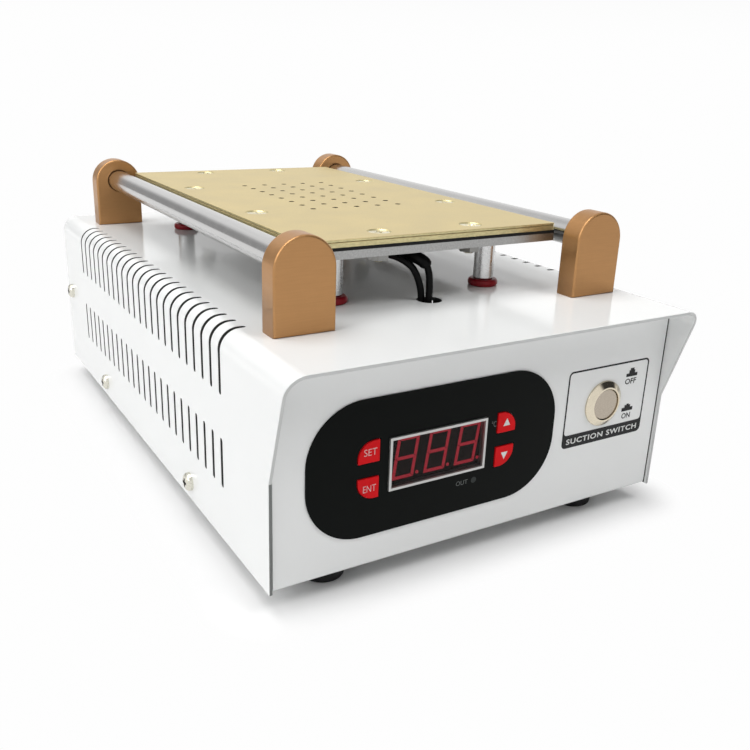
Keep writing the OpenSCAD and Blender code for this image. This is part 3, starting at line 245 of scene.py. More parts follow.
def eased_edge(thickness, ease, steps=3):
    """The rings round a sheet's edge: how far in, how deep, and the lean from facing up to facing out."""
    rings = []
    for k in range(steps + 1):
        lean = k / steps * pi / 2
        rings.append((ease * (1 - sin(lean)), ease * (1 - cos(lean)), lean))
    return rings + [(inset, thickness - depth, pi - lean) for inset, depth, lean in reversed(rings)]


def filled(loops, cuts=()):
    """Triangles over the area inside the first outline and outside the others, split along the cuts."""
    work = bmesh.new()
    edges = []
    for loop in loops:
        ring = [work.verts.new((p.x, p.y, 0)) for p in loop]
        edges += [work.edges.new((ring[i - 1], ring[i])) for i in range(len(ring))]
    bmesh.ops.triangle_fill(work, use_beauty=True, use_dissolve=False, edges=edges, normal=(0, 0, 1))
    for at, facing in cuts:
        whole = work.verts[:] + work.edges[:] + work.faces[:]
        bmesh.ops.bisect_plane(work, geom=whole, dist=0.06, plane_co=(*at, 0), plane_no=(*facing, 0))
    bmesh.ops.triangulate(work, faces=work.faces[:])
    work.verts.index_update()
    points = [Vector(v.co[:2]) for v in work.verts]
    faces = []
    for face in work.faces:
        order = [v.index for v in face.verts]
        faces.append(order if face.normal.z > 0 else order[::-1])
    work.free()
    return points, faces


def sheet(name, loops, thickness, ease, place, cuts=(), edges=None, pits=(), slots=None):
    """A plate with eased edges. The first loop is its outline, counter-clockwise, the others its holes,
    clockwise; place puts a point of the outline and a depth under the face into the frame; edges gives
    some loops rings of their own; pits are (outline, depth) of blind holes in the face; slots gives the
    material slots of "far", the far face, "rim", the outline's edge, and "bore", the holes' walls."""
    points, normals, faces, slot_of = [], [], [], []
    slots = slots or {}

    def add(p, depth, outward=None, lean=0.0):
        spot = place(p.x, p.y, depth)
        facing = (place(p.x, p.y, depth - 0.02) - spot).normalized()
        if outward is not None:
            q = p + outward * 0.02
            facing = facing * cos(lean) + (place(q.x, q.y, depth) - spot).normalized() * sin(lean)
        points.append(spot)
        normals.append(facing)
        return len(points) - 1

    def wall(loop, rings, slot_here=0, lit=0.0):
        steps = leftwards(loop)
        made = []
        for inset, depth, lean in rings:
            made.append([add(p + s * inset, depth, -s.normalized(), lean) for p, s in zip(loop, steps)])
        for k, (upper, lower) in enumerate(zip(made, made[1:])):
            for i in range(len(loop)):
                faces.append((upper[i - 1], lower[i - 1], lower[i], upper[i]))
                slot_of.append(slot_here if rings[k + 1][1] > lit else 0)

    def face(loops_here, depth, reverse, slot_here=0):
        flat, triangles = filled(loops_here, cuts)
        start = len(points)
        for p in flat:
            add(p, depth)
            if reverse:
                normals[-1] = -normals[-1]
        for triangle in triangles:
            corners = [start + i for i in (reversed(triangle) if reverse else triangle)]
            faces.append(tuple(corners))
            slot_of.append(slot_here)

    def drawn_in(loop, inset):
        return [p + s * inset for p, s in zip(loop, leftwards(loop))]

    rings_of = [(edges or {}).get(i, eased_edge(thickness, ease)) for i in range(len(loops))]
    for i, (loop, rings) in enumerate(zip(loops, rings_of)):
        wall(loop, rings, slots.get("bore" if i else "rim", 0), ease + 0.001)
    upper = [drawn_in(loop, rings[0][0]) for loop, rings in zip(loops, rings_of)]
    lower = [drawn_in(loop, rings[-1][0]) for loop, rings in zip(loops, rings_of)]
    for loop, depth in pits:
        rings = eased_edge(thickness, ease)[:4] + [(0, depth, pi / 2)]
        wall(loop, rings)
        upper.append(drawn_in(loop, rings[0][0]))
        faces.append(tuple(reversed([add(p, depth) for p in loop])))
        slot_of.append(0)
    face(upper, 0, False)
    face(lower, thickness, True, slots.get("far", 0))
    piece = new_piece(name, points, faces, normals)
    piece.data.polygons.foreach_set("material_index", slot_of)
    return piece


def circle(x, y, r, steps=24, clockwise=True):
    """A round outline; holes run clockwise."""
    turn = -1 if clockwise else 1
    return [Vector((x + r * cos(turn * 2 * pi * k / steps), y + r * sin(turn * 2 * pi * k / steps)))
            for k in range(steps)]


def rounded(x, y, w, h, r, steps=6, clockwise=False):
    """A rectangle about a point, with round corners."""
    loop = []
    for k, (sx, sy) in enumerate(((1, -1), (1, 1), (-1, 1), (-1, -1))):
        for i in range(steps + 1):
            a = (k - 1) * pi / 2 + i / steps * pi / 2
            loop.append(Vector((x + sx * (w / 2 - r) + r * cos(a), y + sy * (h / 2 - r) + r * sin(a))))
    return loop[::-1] if clockwise else loop


cover_low, cover_high = from_frame("top_cover")
cover_w = cover_high.x - cover_low.x
rear_face = from_frame("base_tray")[1].y
sheet_t = 1.2
bend_r = 7.0
wall_l = cover_high.z - cover_low.z - bend_r
arc_l = bend_r * pi / 2
half_w = wall_l + arc_l + cover_w / 2 - bend_r
hood_front = cover_low.y
lip_front = -1.1
slant_z = 47.0
slot_n = 24
slot_w = 2.1
slots_front, slots_rear = 37.1, 223.3
slot_pitch = (slots_rear - slots_front) / (slot_n - 1)
lower_slot = (20.6, 39.0)
upper_slot = (54.7, wall_l + arc_l + 2.5)
bend_steps = 12
bend_lines = [wall_l + arc_l * k / bend_steps for k in range(bend_steps + 1)]
bend_lines += [2 * half_w - s for s in reversed(bend_lines)]


def on_cover(s, y, depth):
    """From the flat sheet, s along its width from the left wall's foot, to the folded cover."""
    side = 1 if s > half_w else -1
    along = 2 * half_w - s if s > half_w else s
    if along <= wall_l:
        x, z = cover_w / 2 - depth, cover_low.z + along
    elif along <= wall_l + arc_l:
        a = (along - wall_l) / bend_r
        x = cover_w / 2 - bend_r + (bend_r - depth) * cos(a)
        z = cover_low.z + wall_l + (bend_r - depth) * sin(a)
    else:
        x, z = cover_w / 2 - bend_r - (along - wall_l - arc_l), cover_high.z - depth
    return in_frame(side * x, y, z)


def hood_edge(s):
    """How far forward the sheet reaches at s."""
    z = on_cover(s, 0, 0).z / mm
    if z < slant_z:
        return lip_front
    return lip_front + (hood_front - lip_front) * (z - slant_z) / (cover_high.z - slant_z)


def slot_outline(s0, s1, y, steps=8):
    """A slot's round-ended outline, clockwise, with points where it crosses the bend."""
    r = slot_w / 2
    bends = [s for s in bend_lines if s0 + r < s < s1 - r]
    ends = [(r * sin(pi * k / steps), r * cos(pi * k / steps)) for k in range(steps + 1)]
    loop = [Vector((s, y + r)) for s in [s0 + r] + bends]
    loop += [Vector((s1 - r + p, y + q)) for p, q in ends]
    loop += [Vector((s, y - r)) for s in reversed(bends)]
    return loop + [Vector((s0 + r - p, y - q)) for p, q in ends[:-1]]


slant_s = slant_z - cover_low.z
front_line = [0, slant_s] + bend_lines + [2 * half_w - slant_s, 2 * half_w]
cover_loops = [[Vector((s, hood_edge(s))) for s in front_line]
               + [Vector((s, cover_high.y)) for s in [2 * half_w] + bend_lines[::-1] + [0]]]
for i in range(slot_n):
    y = slots_front + i * slot_pitch
    for s0, s1 in (lower_slot, upper_slot):
        cover_loops += [slot_outline(s0, s1, y), slot_outline(2 * half_w - s1, 2 * half_w - s0, y)]
screw_bore = 2.15
side_screws = ((71, 15.5), (191, 15.5), (252, 47))
for y, z in side_screws:
    cover_loops += [circle(s, y, screw_bore, 16) for s in (z - cover_low.z, 2 * half_w - z + cover_low.z)]
deck_x, deck_y = -1.6, 130.0
leg_dx, leg_dy = 34.3, 78
leg_places = [(deck_x + sx * leg_dx, deck_y + sy * leg_dy) for sx in (-1, 1) for sy in (-1, 1)]
post_nodes = ("post_front_left", "post_front_right", "post_back_left", "post_back_right")
lead_hole, hose_hole = (-0.9, 40.6, 4.8, 36), (deck_x, deck_y, 5.0, 36)
top_holes = [lead_hole, hose_hole]
top_holes += [(*(sum(from_frame(node), Vector()) / 2).xy, screw_bore, 16) for node in post_nodes]
top_holes += [(*place, screw_bore, 16) for place in leg_places]
cover_loops += [circle(half_w + x, y, r, steps) for x, y, r, steps in top_holes]
# Of its materials, 0 is the coat, 1 the primer inside with painted shade, 2 the coat on the cut edge with
# painted shade, 3 a painted shadow on the left lip
cover = sheet("folded_cover", cover_loops, sheet_t, 0.16, on_cover,
              cuts=[((s, 0), (1, 0)) for s in bend_lines] + [((0, y), (0, 1)) for y in (0, rear_face)],
              slots={"far": 1, "bore": 1, "rim": 2})
for polygon in cover.data.polygons:
    middle = polygon.center
    if polygon.material_index == 1 and not 0 < middle.y - panel_face < rear_face * mm:
        polygon.material_index = 0
    # The lower left lip's edge gets a painted shadow, the shade of the gap between the cover and the front
    # panel
    if polygon.material_index == 2 and middle.x < 0 and middle.y < panel_face and middle.z < slant_z * mm:
        polygon.material_index = 3


def new_effect(name, values):
    """A shader node group that takes these values, and gives a colour, a roughness and a height."""
    group = bpy.data.node_groups.new(name, "ShaderNodeTree")
    kinds = {"Colour": "Color", "Stretch": "Vector"}
    for label, value in values.items():
        kind = "NodeSocket" + kinds.get(label, "Float")
        group.interface.new_socket(label, in_out="INPUT", socket_type=kind).default_value = value
    for label in ("Colour", "Roughness", "Height"):
        kind = "NodeSocket" + kinds.get(label, "Float")
        group.interface.new_socket(label, in_out="OUTPUT", socket_type=kind)
    return group, group.nodes.new("NodeGroupInput").outputs


def end_effect(group, given, height, tone, marks, low, high):
    """An effect's outputs: its colour in a lighter or darker tone, its gloss with marks, its height."""
    colour = put(group, "VectorMath", {0: given["Colour"], "Scale": tone}, operation="SCALE").outputs[0]
    rough = reckon(group, "ADD", given["Gloss"], span(group, marks, low, high, 0.3, 0.7))
    set_inputs(group, group.nodes.new("NodeGroupOutput"),
               {"Colour": colour, "Roughness": rough, "Height": height})


def noise(group, size, detail=2.0, stretch=None):
    """Noise over the object's own coordinates, with cells of about that size in metres."""
    spot = put(group, "TexCoord").outputs["Object"]
    if stretch is not None:
        spot = reckon_vector(group, "MULTIPLY", spot, stretch)
    scale = reckon(group, "DIVIDE", 1.0, size) if isinstance(size, bpy.types.NodeSocket) else 1 / size
    return put(group, "TexNoise", {"Vector": spot, "Scale": scale, "Detail": detail}).outputs[0]


def bump(tree, height, distance):
    """The normals of a height that rises by a distance in metres."""
    return put(tree, "Bump", {"Height": height, "Distance": distance, "Strength": 1.0}).outputs[0]


def effect(tree, group, values):
    """Place an effect in a material, with those of the values that it takes, and give its outputs."""
    node = put(tree, "Group", node_tree=group)
    taken = {name: value for name, value in values.items() if name in node.inputs}
    return set_inputs(tree, node, taken).outputs


def coated(name, group, height, values):
    """A material from an effect, its bump's height in metres, and values for the effect or the shader."""
    material, tree, shader = new_material(name)
    skin = effect(tree, group, values)
    set_inputs(tree, shader, {"Base Color": skin["Colour"], "Roughness": skin["Roughness"],
                              "Normal": bump(tree, skin["Height"], height)})
    set_inputs(tree, shader, {label: value for label, value in values.items() if label in shader.inputs})
    return material


# Powder coat: a faint orange peel, with a little dust and wiping marks in the gloss
sprayed_skin, given = new_effect("sprayed skin",
                                 {"Colour": (0.8, 0.8, 0.8, 1), "Peel": 0.0012, "Gloss": 0.2})
end_effect(sprayed_skin, given, noise(sprayed_skin, given["Peel"], 1.5),
           span(sprayed_skin, noise(sprayed_skin, 0.03, 3.0), 0.985, 1.012),
           noise(sprayed_skin, 0.012, 4.0, (1.0, 0.25, 1.0)), -0.05, 0.07)
coat_white = (0.87, 0.88, 0.875)
# The primer inside is made nearly black as painted shade, for the shade inside the casing and on the slots'
# walls
primer_and_shade_grey = (0.05, 0.052, 0.05)
white_coat = coated("white powder coat", sprayed_skin, 0.000008,
                    {"Colour": coat_white, "Peel": 0.0014, "Gloss": 0.11, "IOR": 1.5})
inner_primer_and_shade = coated("grey primer darkened as painted shade", sprayed_skin, 0.00001,
                      {"Colour": primer_and_shade_grey, "Peel": 0.0014, "Gloss": 0.6})
# The cut edge's thin coat is greyer than the face, partly as painted shade for an edge that faces the dim
# front
edge_coat_and_shade = coated("thin coat on the cut edge with painted shade", sprayed_skin, 0.00001,
                   {"Colour": (0.60, 0.61, 0.605), "Peel": 0.0008, "Gloss": 0.3})
# A painted shadow for the gap beside the left lip
lip_painted_shadow = coated("painted shadow on the left lip's edge", sprayed_skin, 0.00001,
                   {"Colour": (0.17, 0.18, 0.175), "Peel": 0.0008, "Gloss": 0.4})
fit(cover, "white_casing", white_coat, inner_primer_and_shade, edge_coat_and_shade, lip_painted_shadow, replaces="top_cover")


# The tray is the casing's floor with the front and rear panels folded up from it, coated like the cover.
# It keeps its solid from the frame.
def dress(material, *nodes):
    """Give nodes of the frame their material."""
    for node in nodes:
        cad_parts[node].material_slots[0].material = material


def blend(tree, share, a, b):
    """Mix two colours by a share."""
    return put(tree, "Mix", {0: share, 6: a, 7: b}, data_type="RGBA").outputs[2]


tray_low, tray_high = from_frame("base_tray")
skin_t = 0.4
fold_r = 1.6
# Outside the tray is white; inside it takes the near-black primer as painted shade for the casing's shaded
# interior
tray_coat, tree, shader = new_material("tray white outside and painted shade inside")
white = effect(tree, sprayed_skin, {"Colour": coat_white, "Peel": 0.0014, "Gloss": 0.16})
spot = put(tree, "SeparateXYZ", {0: put(tree, "TexCoord").outputs["Object"]}).outputs
front_y = in_frame(0, tray_low.y, 0).y
rear_y = in_frame(0, tray_high.y, 0).y
outside = reckon(tree, "MULTIPLY", reckon(tree, "LESS_THAN", spot["Y"], front_y + fold_r * mm),
                 reckon(tree, "LESS_THAN", spot["Z"], (tray_low.z + fold_r) * mm))
for axis, side, limit in (("Y", "LESS_THAN", front_y + skin_t * mm),
                          ("Y", "GREATER_THAN", rear_y - skin_t * mm),
                          ("Z", "LESS_THAN", (tray_low.z + skin_t) * mm)):
    outside = reckon(tree, "MAXIMUM", outside, reckon(tree, side, spot[axis], limit))
rougher_inside = reckon(tree, "MULTIPLY", reckon(tree, "LESS_THAN", outside, 0.5), 0.45)
set_inputs(tree, shader, {"Base Color": blend(tree, outside, primer_and_shade_grey, white["Colour"]),
                          "Roughness": reckon(tree, "ADD", rougher_inside, white["Roughness"]),
                          "Normal": bump(tree, white["Height"], 0.00001)})
dress(tray_coat, "base_tray")


# Cross-head screws of bright zinc hold the cover, the posts, the legs and the feet.
# Each has a low domed head with a cross pressed into it.
def eased(points):
    """Samples along a profile of (radius, height, ease), with the facing of each: a corner with an ease
    becomes an arc, and one without it two samples that meet. The outside lies to the left."""
    samples = []
    last = len(points) - 1
    for i, (r, z, ease) in enumerate(points):
        here = Vector((r, z))
        before = (here - Vector(points[i - 1][:2])).normalized() if i else None
        after = (Vector(points[i + 1][:2]) - here).normalized() if i < last else None
        facing = [Vector((-d.y, d.x)) for d in (before, after) if d is not None]
        if not ease or len(facing) < 2:
            samples += [(here, n) for n in facing]
            continue
        a, b = facing
        turn = acos(max(-1, min(1, a.dot(b))))
        side = 1 if before.x * after.y - before.y * after.x < 0 else -1
        middle = here - before * ease * tan(turn / 2) - a * side * ease
        steps = max(2, round(turn / radians(22)))
        for k in range(steps + 1):
            n = (a * sin(turn * (1 - k / steps)) + b * sin(turn * k / steps)).normalized()
            samples.append((middle + n * side * ease, n))
    return samples


def turned(profile, steps=48, ring=False):
    """Points, faces and normals of a turned form about Z; a ring's profile closes on itself."""
    if ring:
        profile = profile + profile[:1]
    samples = eased(profile)
    points, normals, faces, starts = [], [], [], []
    for at, facing in samples:
        starts.append(len(points))
        for k in range(steps if at.x > 1e-6 else 1):
            a = 2 * pi * k / steps
            points.append(Vector((at.x * cos(a), at.x * sin(a), at.y)))
            normals.append(Vector((facing.x * cos(a), facing.x * sin(a), facing.y)))
    for i in range(len(samples) - 1):
        p, q = samples[i][0], samples[i + 1][0]
        if (p - q).length < 1e-5:
            continue
        for k in range(steps):
            m = (k + 1) % steps
            a = [starts[i] + (j if p.x > 1e-6 else 0) for j in (k, m)]
            b = [starts[i + 1] + (j if q.x > 1e-6 else 0) for j in (k, m)]
            faces.append(tuple(dict.fromkeys((a[0], b[0], b[1], a[1]))))
    return points, faces, normals


def copies(name, form, places):
    """One piece made of a form in millimetres, put at each place."""
    points, faces, normals, slots = [], [], [], []
    for place in places:
        slots += form[3] if len(form) > 3 else []
        start = len(points)
        points += [place @ (p * mm) for p in form[0]]
        faces += [tuple(start + i for i in face) for face in form[1]]
        normals += [place.to_3x3() @ n for n in form[2]] if form[2] else []
    piece = new_piece(name, points, faces, normals or None)
    if slots:
        piece.data.polygons.foreach_set("material_index", slots)
    return piece


def standing(x, y, z, turn=0.0, axis="X"):
    """A place, with a turn about an axis in degrees: X 90 faces the front, -90 the rear, Y 90 the right."""
    return Matrix.Translation(in_frame(x, y, z)) @ Matrix.Rotation(radians(turn), 4, axis)


def crossed(profile, arm, width, depth, steps=40):
    """A turned head with a cross pressed into its top, cut out of the solid."""
    points, faces, _ = turned(profile, steps)
    head = new_piece("screw_blank", points, faces)
    work = bmesh.new()
    work.from_mesh(head.data)
    bmesh.ops.remove_doubles(work, verts=work.verts[:], dist=1e-4)
    work.to_mesh(head.data)
    work.free()
    h = width / 2
    plus = [(arm, h), (h, h), (h, arm), (-h, arm), (-h, h), (-arm, h),
            (-arm, -h), (-h, -h), (-h, -arm), (h, -arm), (h, -h), (arm, -h)]
    top = max(p.z for p in points)
    taper = 0.6
    corners = [Vector((x, y, top + 1)) for x, y in plus]
    corners += [Vector((x * taper, y * taper, top - depth)) for x, y in plus]
    n = len(plus)
    walls = [(n + i, n + (i + 1) % n, (i + 1) % n, i) for i in range(n)]
    tool = new_piece("cross_tool", corners, [tuple(range(n)), tuple(range(n, 2 * n))[::-1]] + walls)
    cut = head.modifiers.new("cross", "BOOLEAN")
    cut.object = tool
    cut.solver = "EXACT"
    bpy.context.view_layer.update()
    result = bpy.data.meshes.new_from_object(head.evaluated_get(bpy.context.evaluated_depsgraph_get()))
    slots = []
    for polygon in result.polygons:
        middle = polygon.center
        in_arm = middle.xy.length < arm and top - depth - 0.01 < middle.z < top - 0.02
        on_cut = abs(polygon.normal.z) < 0.6 or middle.z < top - depth + 0.05
        slots.append(1 if in_arm and on_cut else 0)
    bpy.data.objects.remove(head)
    bpy.data.objects.remove(tool)
    return [v.co.copy() for v in result.vertices], [tuple(p.vertices) for p in result.polygons], None, slots


def sharpened(piece, angle=32):
    """Shade a piece smooth, but sharp where its faces meet at more than an angle."""
    piece.data.set_sharp_from_angle(angle=radians(angle))
    return piece


def domed_screw(head_d, head_h, shank_d, length):
    """A pan head that stands on z = 0, over its shank."""
    r, shank_r, tip = head_d / 2, shank_d / 2, 0.5
    head = [(0, head_h, 0), (r * 0.72, head_h * 0.95, 1.2), (r * 0.985, head_h * 0.55, 0.5), (r, 0, 0)]
    shank = [(shank_r, 0, 0), (shank_r, -length + tip, 0), (shank_r - tip, -length, 0), (0, -length, 0)]
    return crossed(head + shank, arm=r * 0.6, width=head_d * 0.19, depth=head_h * 0.7)


# Blasted or plated metal: a fine grain that lightens and darkens the colour, over faint cloudy patches
blasted_grain, given = new_effect("blasted grain", {"Colour": (0.5, 0.5, 0.5, 1), "Grain": 0.0003,
                                                    "Contrast": 0.1, "Gloss": 0.4})
grain = noise(blasted_grain, given["Grain"], 3.0)
cloud = noise(blasted_grain, 0.018, 3.0)
spread = span(blasted_grain, grain, -1.0, 1.0, 0.25, 0.75)
tone = reckon(blasted_grain, "MULTIPLY", spread, given["Contrast"])
tone = reckon(blasted_grain, "ADD", tone, span(blasted_grain, cloud, 0.96, 1.04, 0.3, 0.7))
end_effect(blasted_grain, given, grain, tone, cloud, -0.02, 0.02)


def blasted(name, colour, grain, contrast, gloss, height, metallic=1.0):
    """Blasted or plated metal, with the size of its grain and its height in metres."""
    return coated(name, blasted_grain, height, {"Colour": colour, "Grain": grain, "Contrast": contrast,
                                                "Gloss": gloss, "Metallic": metallic})


zinc = blasted("bright zinc plate", (0.74, 0.72, 0.63), grain=0.0006, contrast=0.06, gloss=0.24,
               height=0.00001)
recess_dark = blasted("shaded zinc in the cross", (0.03, 0.028, 0.024), grain=0.0006, contrast=0.1,
                      gloss=0.6, height=0.00001, metallic=0.4)
m4_screw = domed_screw(7.2, 2.4, 4.0, 7.0)
side_places = [standing(side * cover_w / 2, y, z, side * 90, "Y")
               for y, z in side_screws for side in (-1, 1)]
cover_screws = sharpened(copies("cover_screws_cross_head", m4_screw, side_places))
fit(cover_screws, "steel_screw", zinc, recess_dark, replaces="cover_screws")
dress(zinc, "foot_screws", "post_screws", "leg_screws", "board_screws", "inlet_screws", "fixing_screws")


# Four round rubber feet carry the casing, each moulded with a bore for its screw from below.
# They taper slightly and have a round lower edge.
moulded_skin, given = new_effect("moulded skin",
                                 {"Colour": (0.05, 0.05, 0.05, 1), "Grain": 0.0006, "Gloss": 0.5})
dust = noise(moulded_skin, 0.006, 4.0)
end_effect(moulded_skin, given, noise(moulded_skin, given["Grain"], 2.0),
           span(moulded_skin, dust, 0.96, 1.06, 0.3, 0.7), dust, -0.02, 0.02)


def moulded(name, colour, grain, gloss, height, specular=0.5):
    """A moulded, cast or printed surface, with the size of its grain and its height in metres."""
    return coated(name, moulded_skin, height, {"Colour": colour, "Grain": grain, "Gloss": gloss,
                                               "Specular IOR Level": specular})


black_rubber = moulded("black rubber", (0.009, 0.009, 0.0095), grain=0.0005, gloss=0.62, height=0.00003,
                       specular=0.25)
foot_x, foot_front, foot_rear = 58, 15, 245.5
foot = turned([(2.15, 8, 0), (8.6, 8, 0.3), (7.8, 0, 0.9), (4.3, 0, 0.4), (4.3, 4, 0), (2.15, 4, 0)],
              ring=True)
feet = copies("rubber_feet_round", foot,
              [standing(side * foot_x, y, 0) for side in (-1, 1) for y in (foot_front, foot_rear)])
fit(feet, "black_rubber", black_rubber, replaces="rubber_feet")


# The keypad overlay is a black polyester film with round ends, stuck to the front panel.
# Pale marks are printed on it: the degree sign beside the display, and a word beside the output lamp.
black_film = moulded("black overlay film", (0.0027, 0.0037, 0.0032), grain=0.0003, gloss=0.3,
                     height=0.000003, specular=0.06)
dress(black_film, "keypad_overlay")


def ink(name, colour, gloss=0.45):
    """Screen-printed ink, a little uneven."""
    return moulded(name, colour, grain=0.0004, gloss=gloss, height=0.000004, specular=0.2)


def printed(name, shapes, y):
    """A flat print that faces the front at y; each shape is an outline in X and Z with its holes."""
    points, faces = [], []
    for loops in shapes:
        flat, triangles = filled(loops)
        start = len(points)
        points += [in_frame(p.x, y, p.y) for p in flat]
        faces += [tuple(start + i for i in triangle) for triangle in triangles]
    return new_piece(name, points, faces)


def lettering(name, words, x, y, z, width, height, bold=0.0, apart=1.0):
    """Printed capitals of a given size about a point, that face the front."""
    curve = bpy.data.curves.new(name, "FONT")
    curve.body = words
    curve.offset = bold
    curve.space_character = apart
    curve.resolution_u = 4
    writer = bpy.data.objects.new(name, curve)
    bpy.context.scene.collection.objects.link(writer)
    bpy.context.view_layer.update()
    mesh = bpy.data.meshes.new_from_object(writer.evaluated_get(bpy.context.evaluated_depsgraph_get()))
    bpy.data.objects.remove(writer)
    low = [min(v.co[i] for v in mesh.vertices) for i in (0, 1)]
    high = [max(v.co[i] for v in mesh.vertices) for i in (0, 1)]
    for v in mesh.vertices:
        across_word = (v.co.x - (low[0] + high[0]) / 2) * (width / (high[0] - low[0]))
        up_word = (v.co.y - (low[1] + high[1]) / 2) * (height / (high[1] - low[1]))
        v.co = in_frame(x + across_word, y, z + up_word)
    piece = bpy.data.objects.new(name, mesh)
    bpy.context.scene.collection.objects.link(piece)
    return piece


display_x, display_z = -21.8, 43.8
print_gap = 0.04
overlay_y = -0.5 - print_gap
output_z = 30.4
white_ink = ink("white ink", (0.72, 0.73, 0.72))
grey_ink = ink("grey ink", (0.13, 0.14, 0.135))
dim_ink = ink("dim lamp ink", (0.022, 0.027, 0.026))
key_ink = ink("pale key ink", (0.74, 0.52, 0.52))
fit(lettering("degree_mark", "°C", 0.8, overlay_y, 50.3, 2.05, 2.2), "black_overlay", grey_ink)
fit(lettering("output_word", "OUT", -11.5, overlay_y, output_z, 5.0, 1.7), "black_overlay", grey_ink)
lamp_dot = printed("output_lamp_dot", [[circle(-6.4, output_z, 1.15, 24, False)]], overlay_y)
fit(lamp_dot, "black_overlay", dim_ink)


# The display sits behind a smoked acrylic window in a thin pressed frame of satin aluminium.
# Its three digits are cast in red epoxy and glow dimly, all strokes lit.
satin_trim = blasted("satin trim", (0.54, 0.54, 0.53), grain=0.0003, contrast=0.04, gloss=0.36,
                     height=0.000006, metallic=0.75)
dress(satin_trim, "display_frame")
smoked, tree, shader = new_material("smoked window")
set_inputs(tree, shader, {"Base Color": (0.006, 0.003, 0.002), "Roughness": 0.05, "Alpha": 0.35,
                          "Specular IOR Level": 0.22})
smoked.surface_render_method = "BLENDED"
dress(smoked, "display_window")
display_black = moulded("display black", (0.016, 0.008, 0.006), grain=0.0004, gloss=0.5, height=0.000006,
                        specular=0.1)
dress(display_black, "display_module")
digit_red = coated("digit red", moulded_skin, 0.000006,
                   {"Colour": (0.58, 0.02, 0.035), "Grain": 0.0005, "Gloss": 0.4,
                    "Emission Color": (1.0, 0.045, 0.09), "Emission Strength": 0.42})
dress(digit_red, "display_segments")


# Four red keys stand a little proud of the overlay, each with one large round corner.
# Their legends are printed: two words on the left keys and two arrows on the right ones.
def ease_edges(node, width, steps=3, angle=35):
    """Round the edges of a node of the frame with modifiers."""
    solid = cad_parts[node]
    solid.modifiers.new("joined", "WELD").merge_threshold = 1e-6
    bevel = solid.modifiers.new("eased", "BEVEL")
    bevel.width = width * mm
    bevel.segments = steps
    bevel.limit_method = "ANGLE"
    bevel.angle_limit = radians(angle)
    bevel.harden_normals = True


key_red = moulded("key red", (0.68, 0.008, 0.012), grain=0.0004, gloss=0.4, height=0.000006, specular=0.07)
key_face = -0.9 - print_gap
key_dx, key_dz = 28.0, 6.5
arrow_w, arrow_h = 3.0, 2.8
for node, side, level, words in (("key_set", -1, 1, "SET"), ("key_enter", -1, -1, "ENT"),
                                 ("key_up", 1, 1, None), ("key_down", 1, -1, None)):
    dress(key_red, node)
    ease_edges(node, 0.22)
    x, z = display_x + side * key_dx, display_z + level * key_dz
    if words:
        legend = lettering(node + "_word", words, x + 0.45, key_face, z, 4.8, 2.4, bold=-0.008)
    else:
        tip = level * arrow_h / 2
        arrow = [Vector((x + p, z + q)) for p, q in ((-arrow_w / 2, -tip), (arrow_w / 2, -tip), (0, tip))]
        legend = printed(node + "_arrow", [[arrow[::level]]], key_face)
    fit(legend, "key_red", key_ink if words else white_ink, body=node)


# The suction switch has a printed label on the panel: a thin black frame, a black band with its
# name, and two small pictures of a push-button, raised beside OFF and pressed beside ON.
label_x, label_z = (34.6, 76.0), (33.1, 63.9)
label_y = -print_gap
band_top = 38.4
black_ink = ink("black ink", (0.012, 0.012, 0.013), 0.4)
label_mid = (sum(label_x) / 2, sum(label_z) / 2)
label_w, label_h = label_x[1] - label_x[0], label_z[1] - label_z[0]
line_w = 0.7
frame_line = [rounded(*label_mid, label_w, label_h, 2.0),
              rounded(label_mid[0], (band_top + label_z[1] - line_w) / 2, label_w - 2 * line_w,
                      label_z[1] - line_w - band_top, 1.4, clockwise=True)]


def push_button_picture(z, tiers, x=67.3, w=5.9):
    """A side view of a button on its foot, as tiers of (share of the width, top)."""
    right = []
    base = 0
    for share, top in tiers:
        right += [(w * share / 2, base), (w * share / 2, top)]
        base = top
    return [Vector((x + p, z + q)) for p, q in right + [(-p, q) for p, q in reversed(right)]]


raised = push_button_picture(57.4, [(1.0, 1.35), (0.52, 2.6), (0.34, 3.4)])
pressed = push_button_picture(43.1, [(1.0, 1.5), (0.52, 2.5), (0.2, 2.95)])
fit(printed("switch_label", [frame_line, [raised], [pressed]], label_y), "white_casing", black_ink)
for words, z, width in (("OFF", 55.5, 5.9), ("ON", 41.15, 4.6)):
    word = lettering(words.lower() + "_word", words, 67.1, label_y, z, width, 2.3, bold=0.02)
    fit(word, "white_casing", black_ink)
band_word = lettering("band_words", "SUCTION SWITCH", label_mid[0], label_y - print_gap, 35.7, 37.0, 2.25,
                      bold=0.022, apart=1.12)
fit(band_word, "white_casing", white_ink)


# The suction button is a 16 mm latching push-button: a turned nickel-plated ring on a threaded
# barrel, and a brushed cap that slides in it.
drawn_lines, given = new_effect("drawn lines", {"Colour": (0.5, 0.5, 0.5, 1), "Stretch": (1.0, 0.02, 1.0),
                                                "Line": 0.0003, "Contrast": 0.15, "Gloss": 0.35})
lines = noise(drawn_lines, given["Line"], 3.0, given["Stretch"])
spots = noise(drawn_lines, 0.004, 4.0)
spread = span(drawn_lines, lines, -1.0, 1.0, 0.3, 0.7)
tone = reckon(drawn_lines, "MULTIPLY", spread, given["Contrast"])
tone = reckon(drawn_lines, "ADD", tone, span(drawn_lines, spots, 0.985, 1.015, 0.3, 0.65))
end_effect(drawn_lines, given, lines, tone, spots, -0.03, 0.04)


def drawn(name, colour, stretch, line, contrast, gloss, height, metallic=1.0):
    """Drawn, ground or brushed metal, with the width of its lines and their height in metres."""
    return coated(name, drawn_lines, height, {"Colour": colour, "Stretch": stretch, "Line": line,
                                              "Contrast": contrast, "Gloss": gloss, "Metallic": metallic})


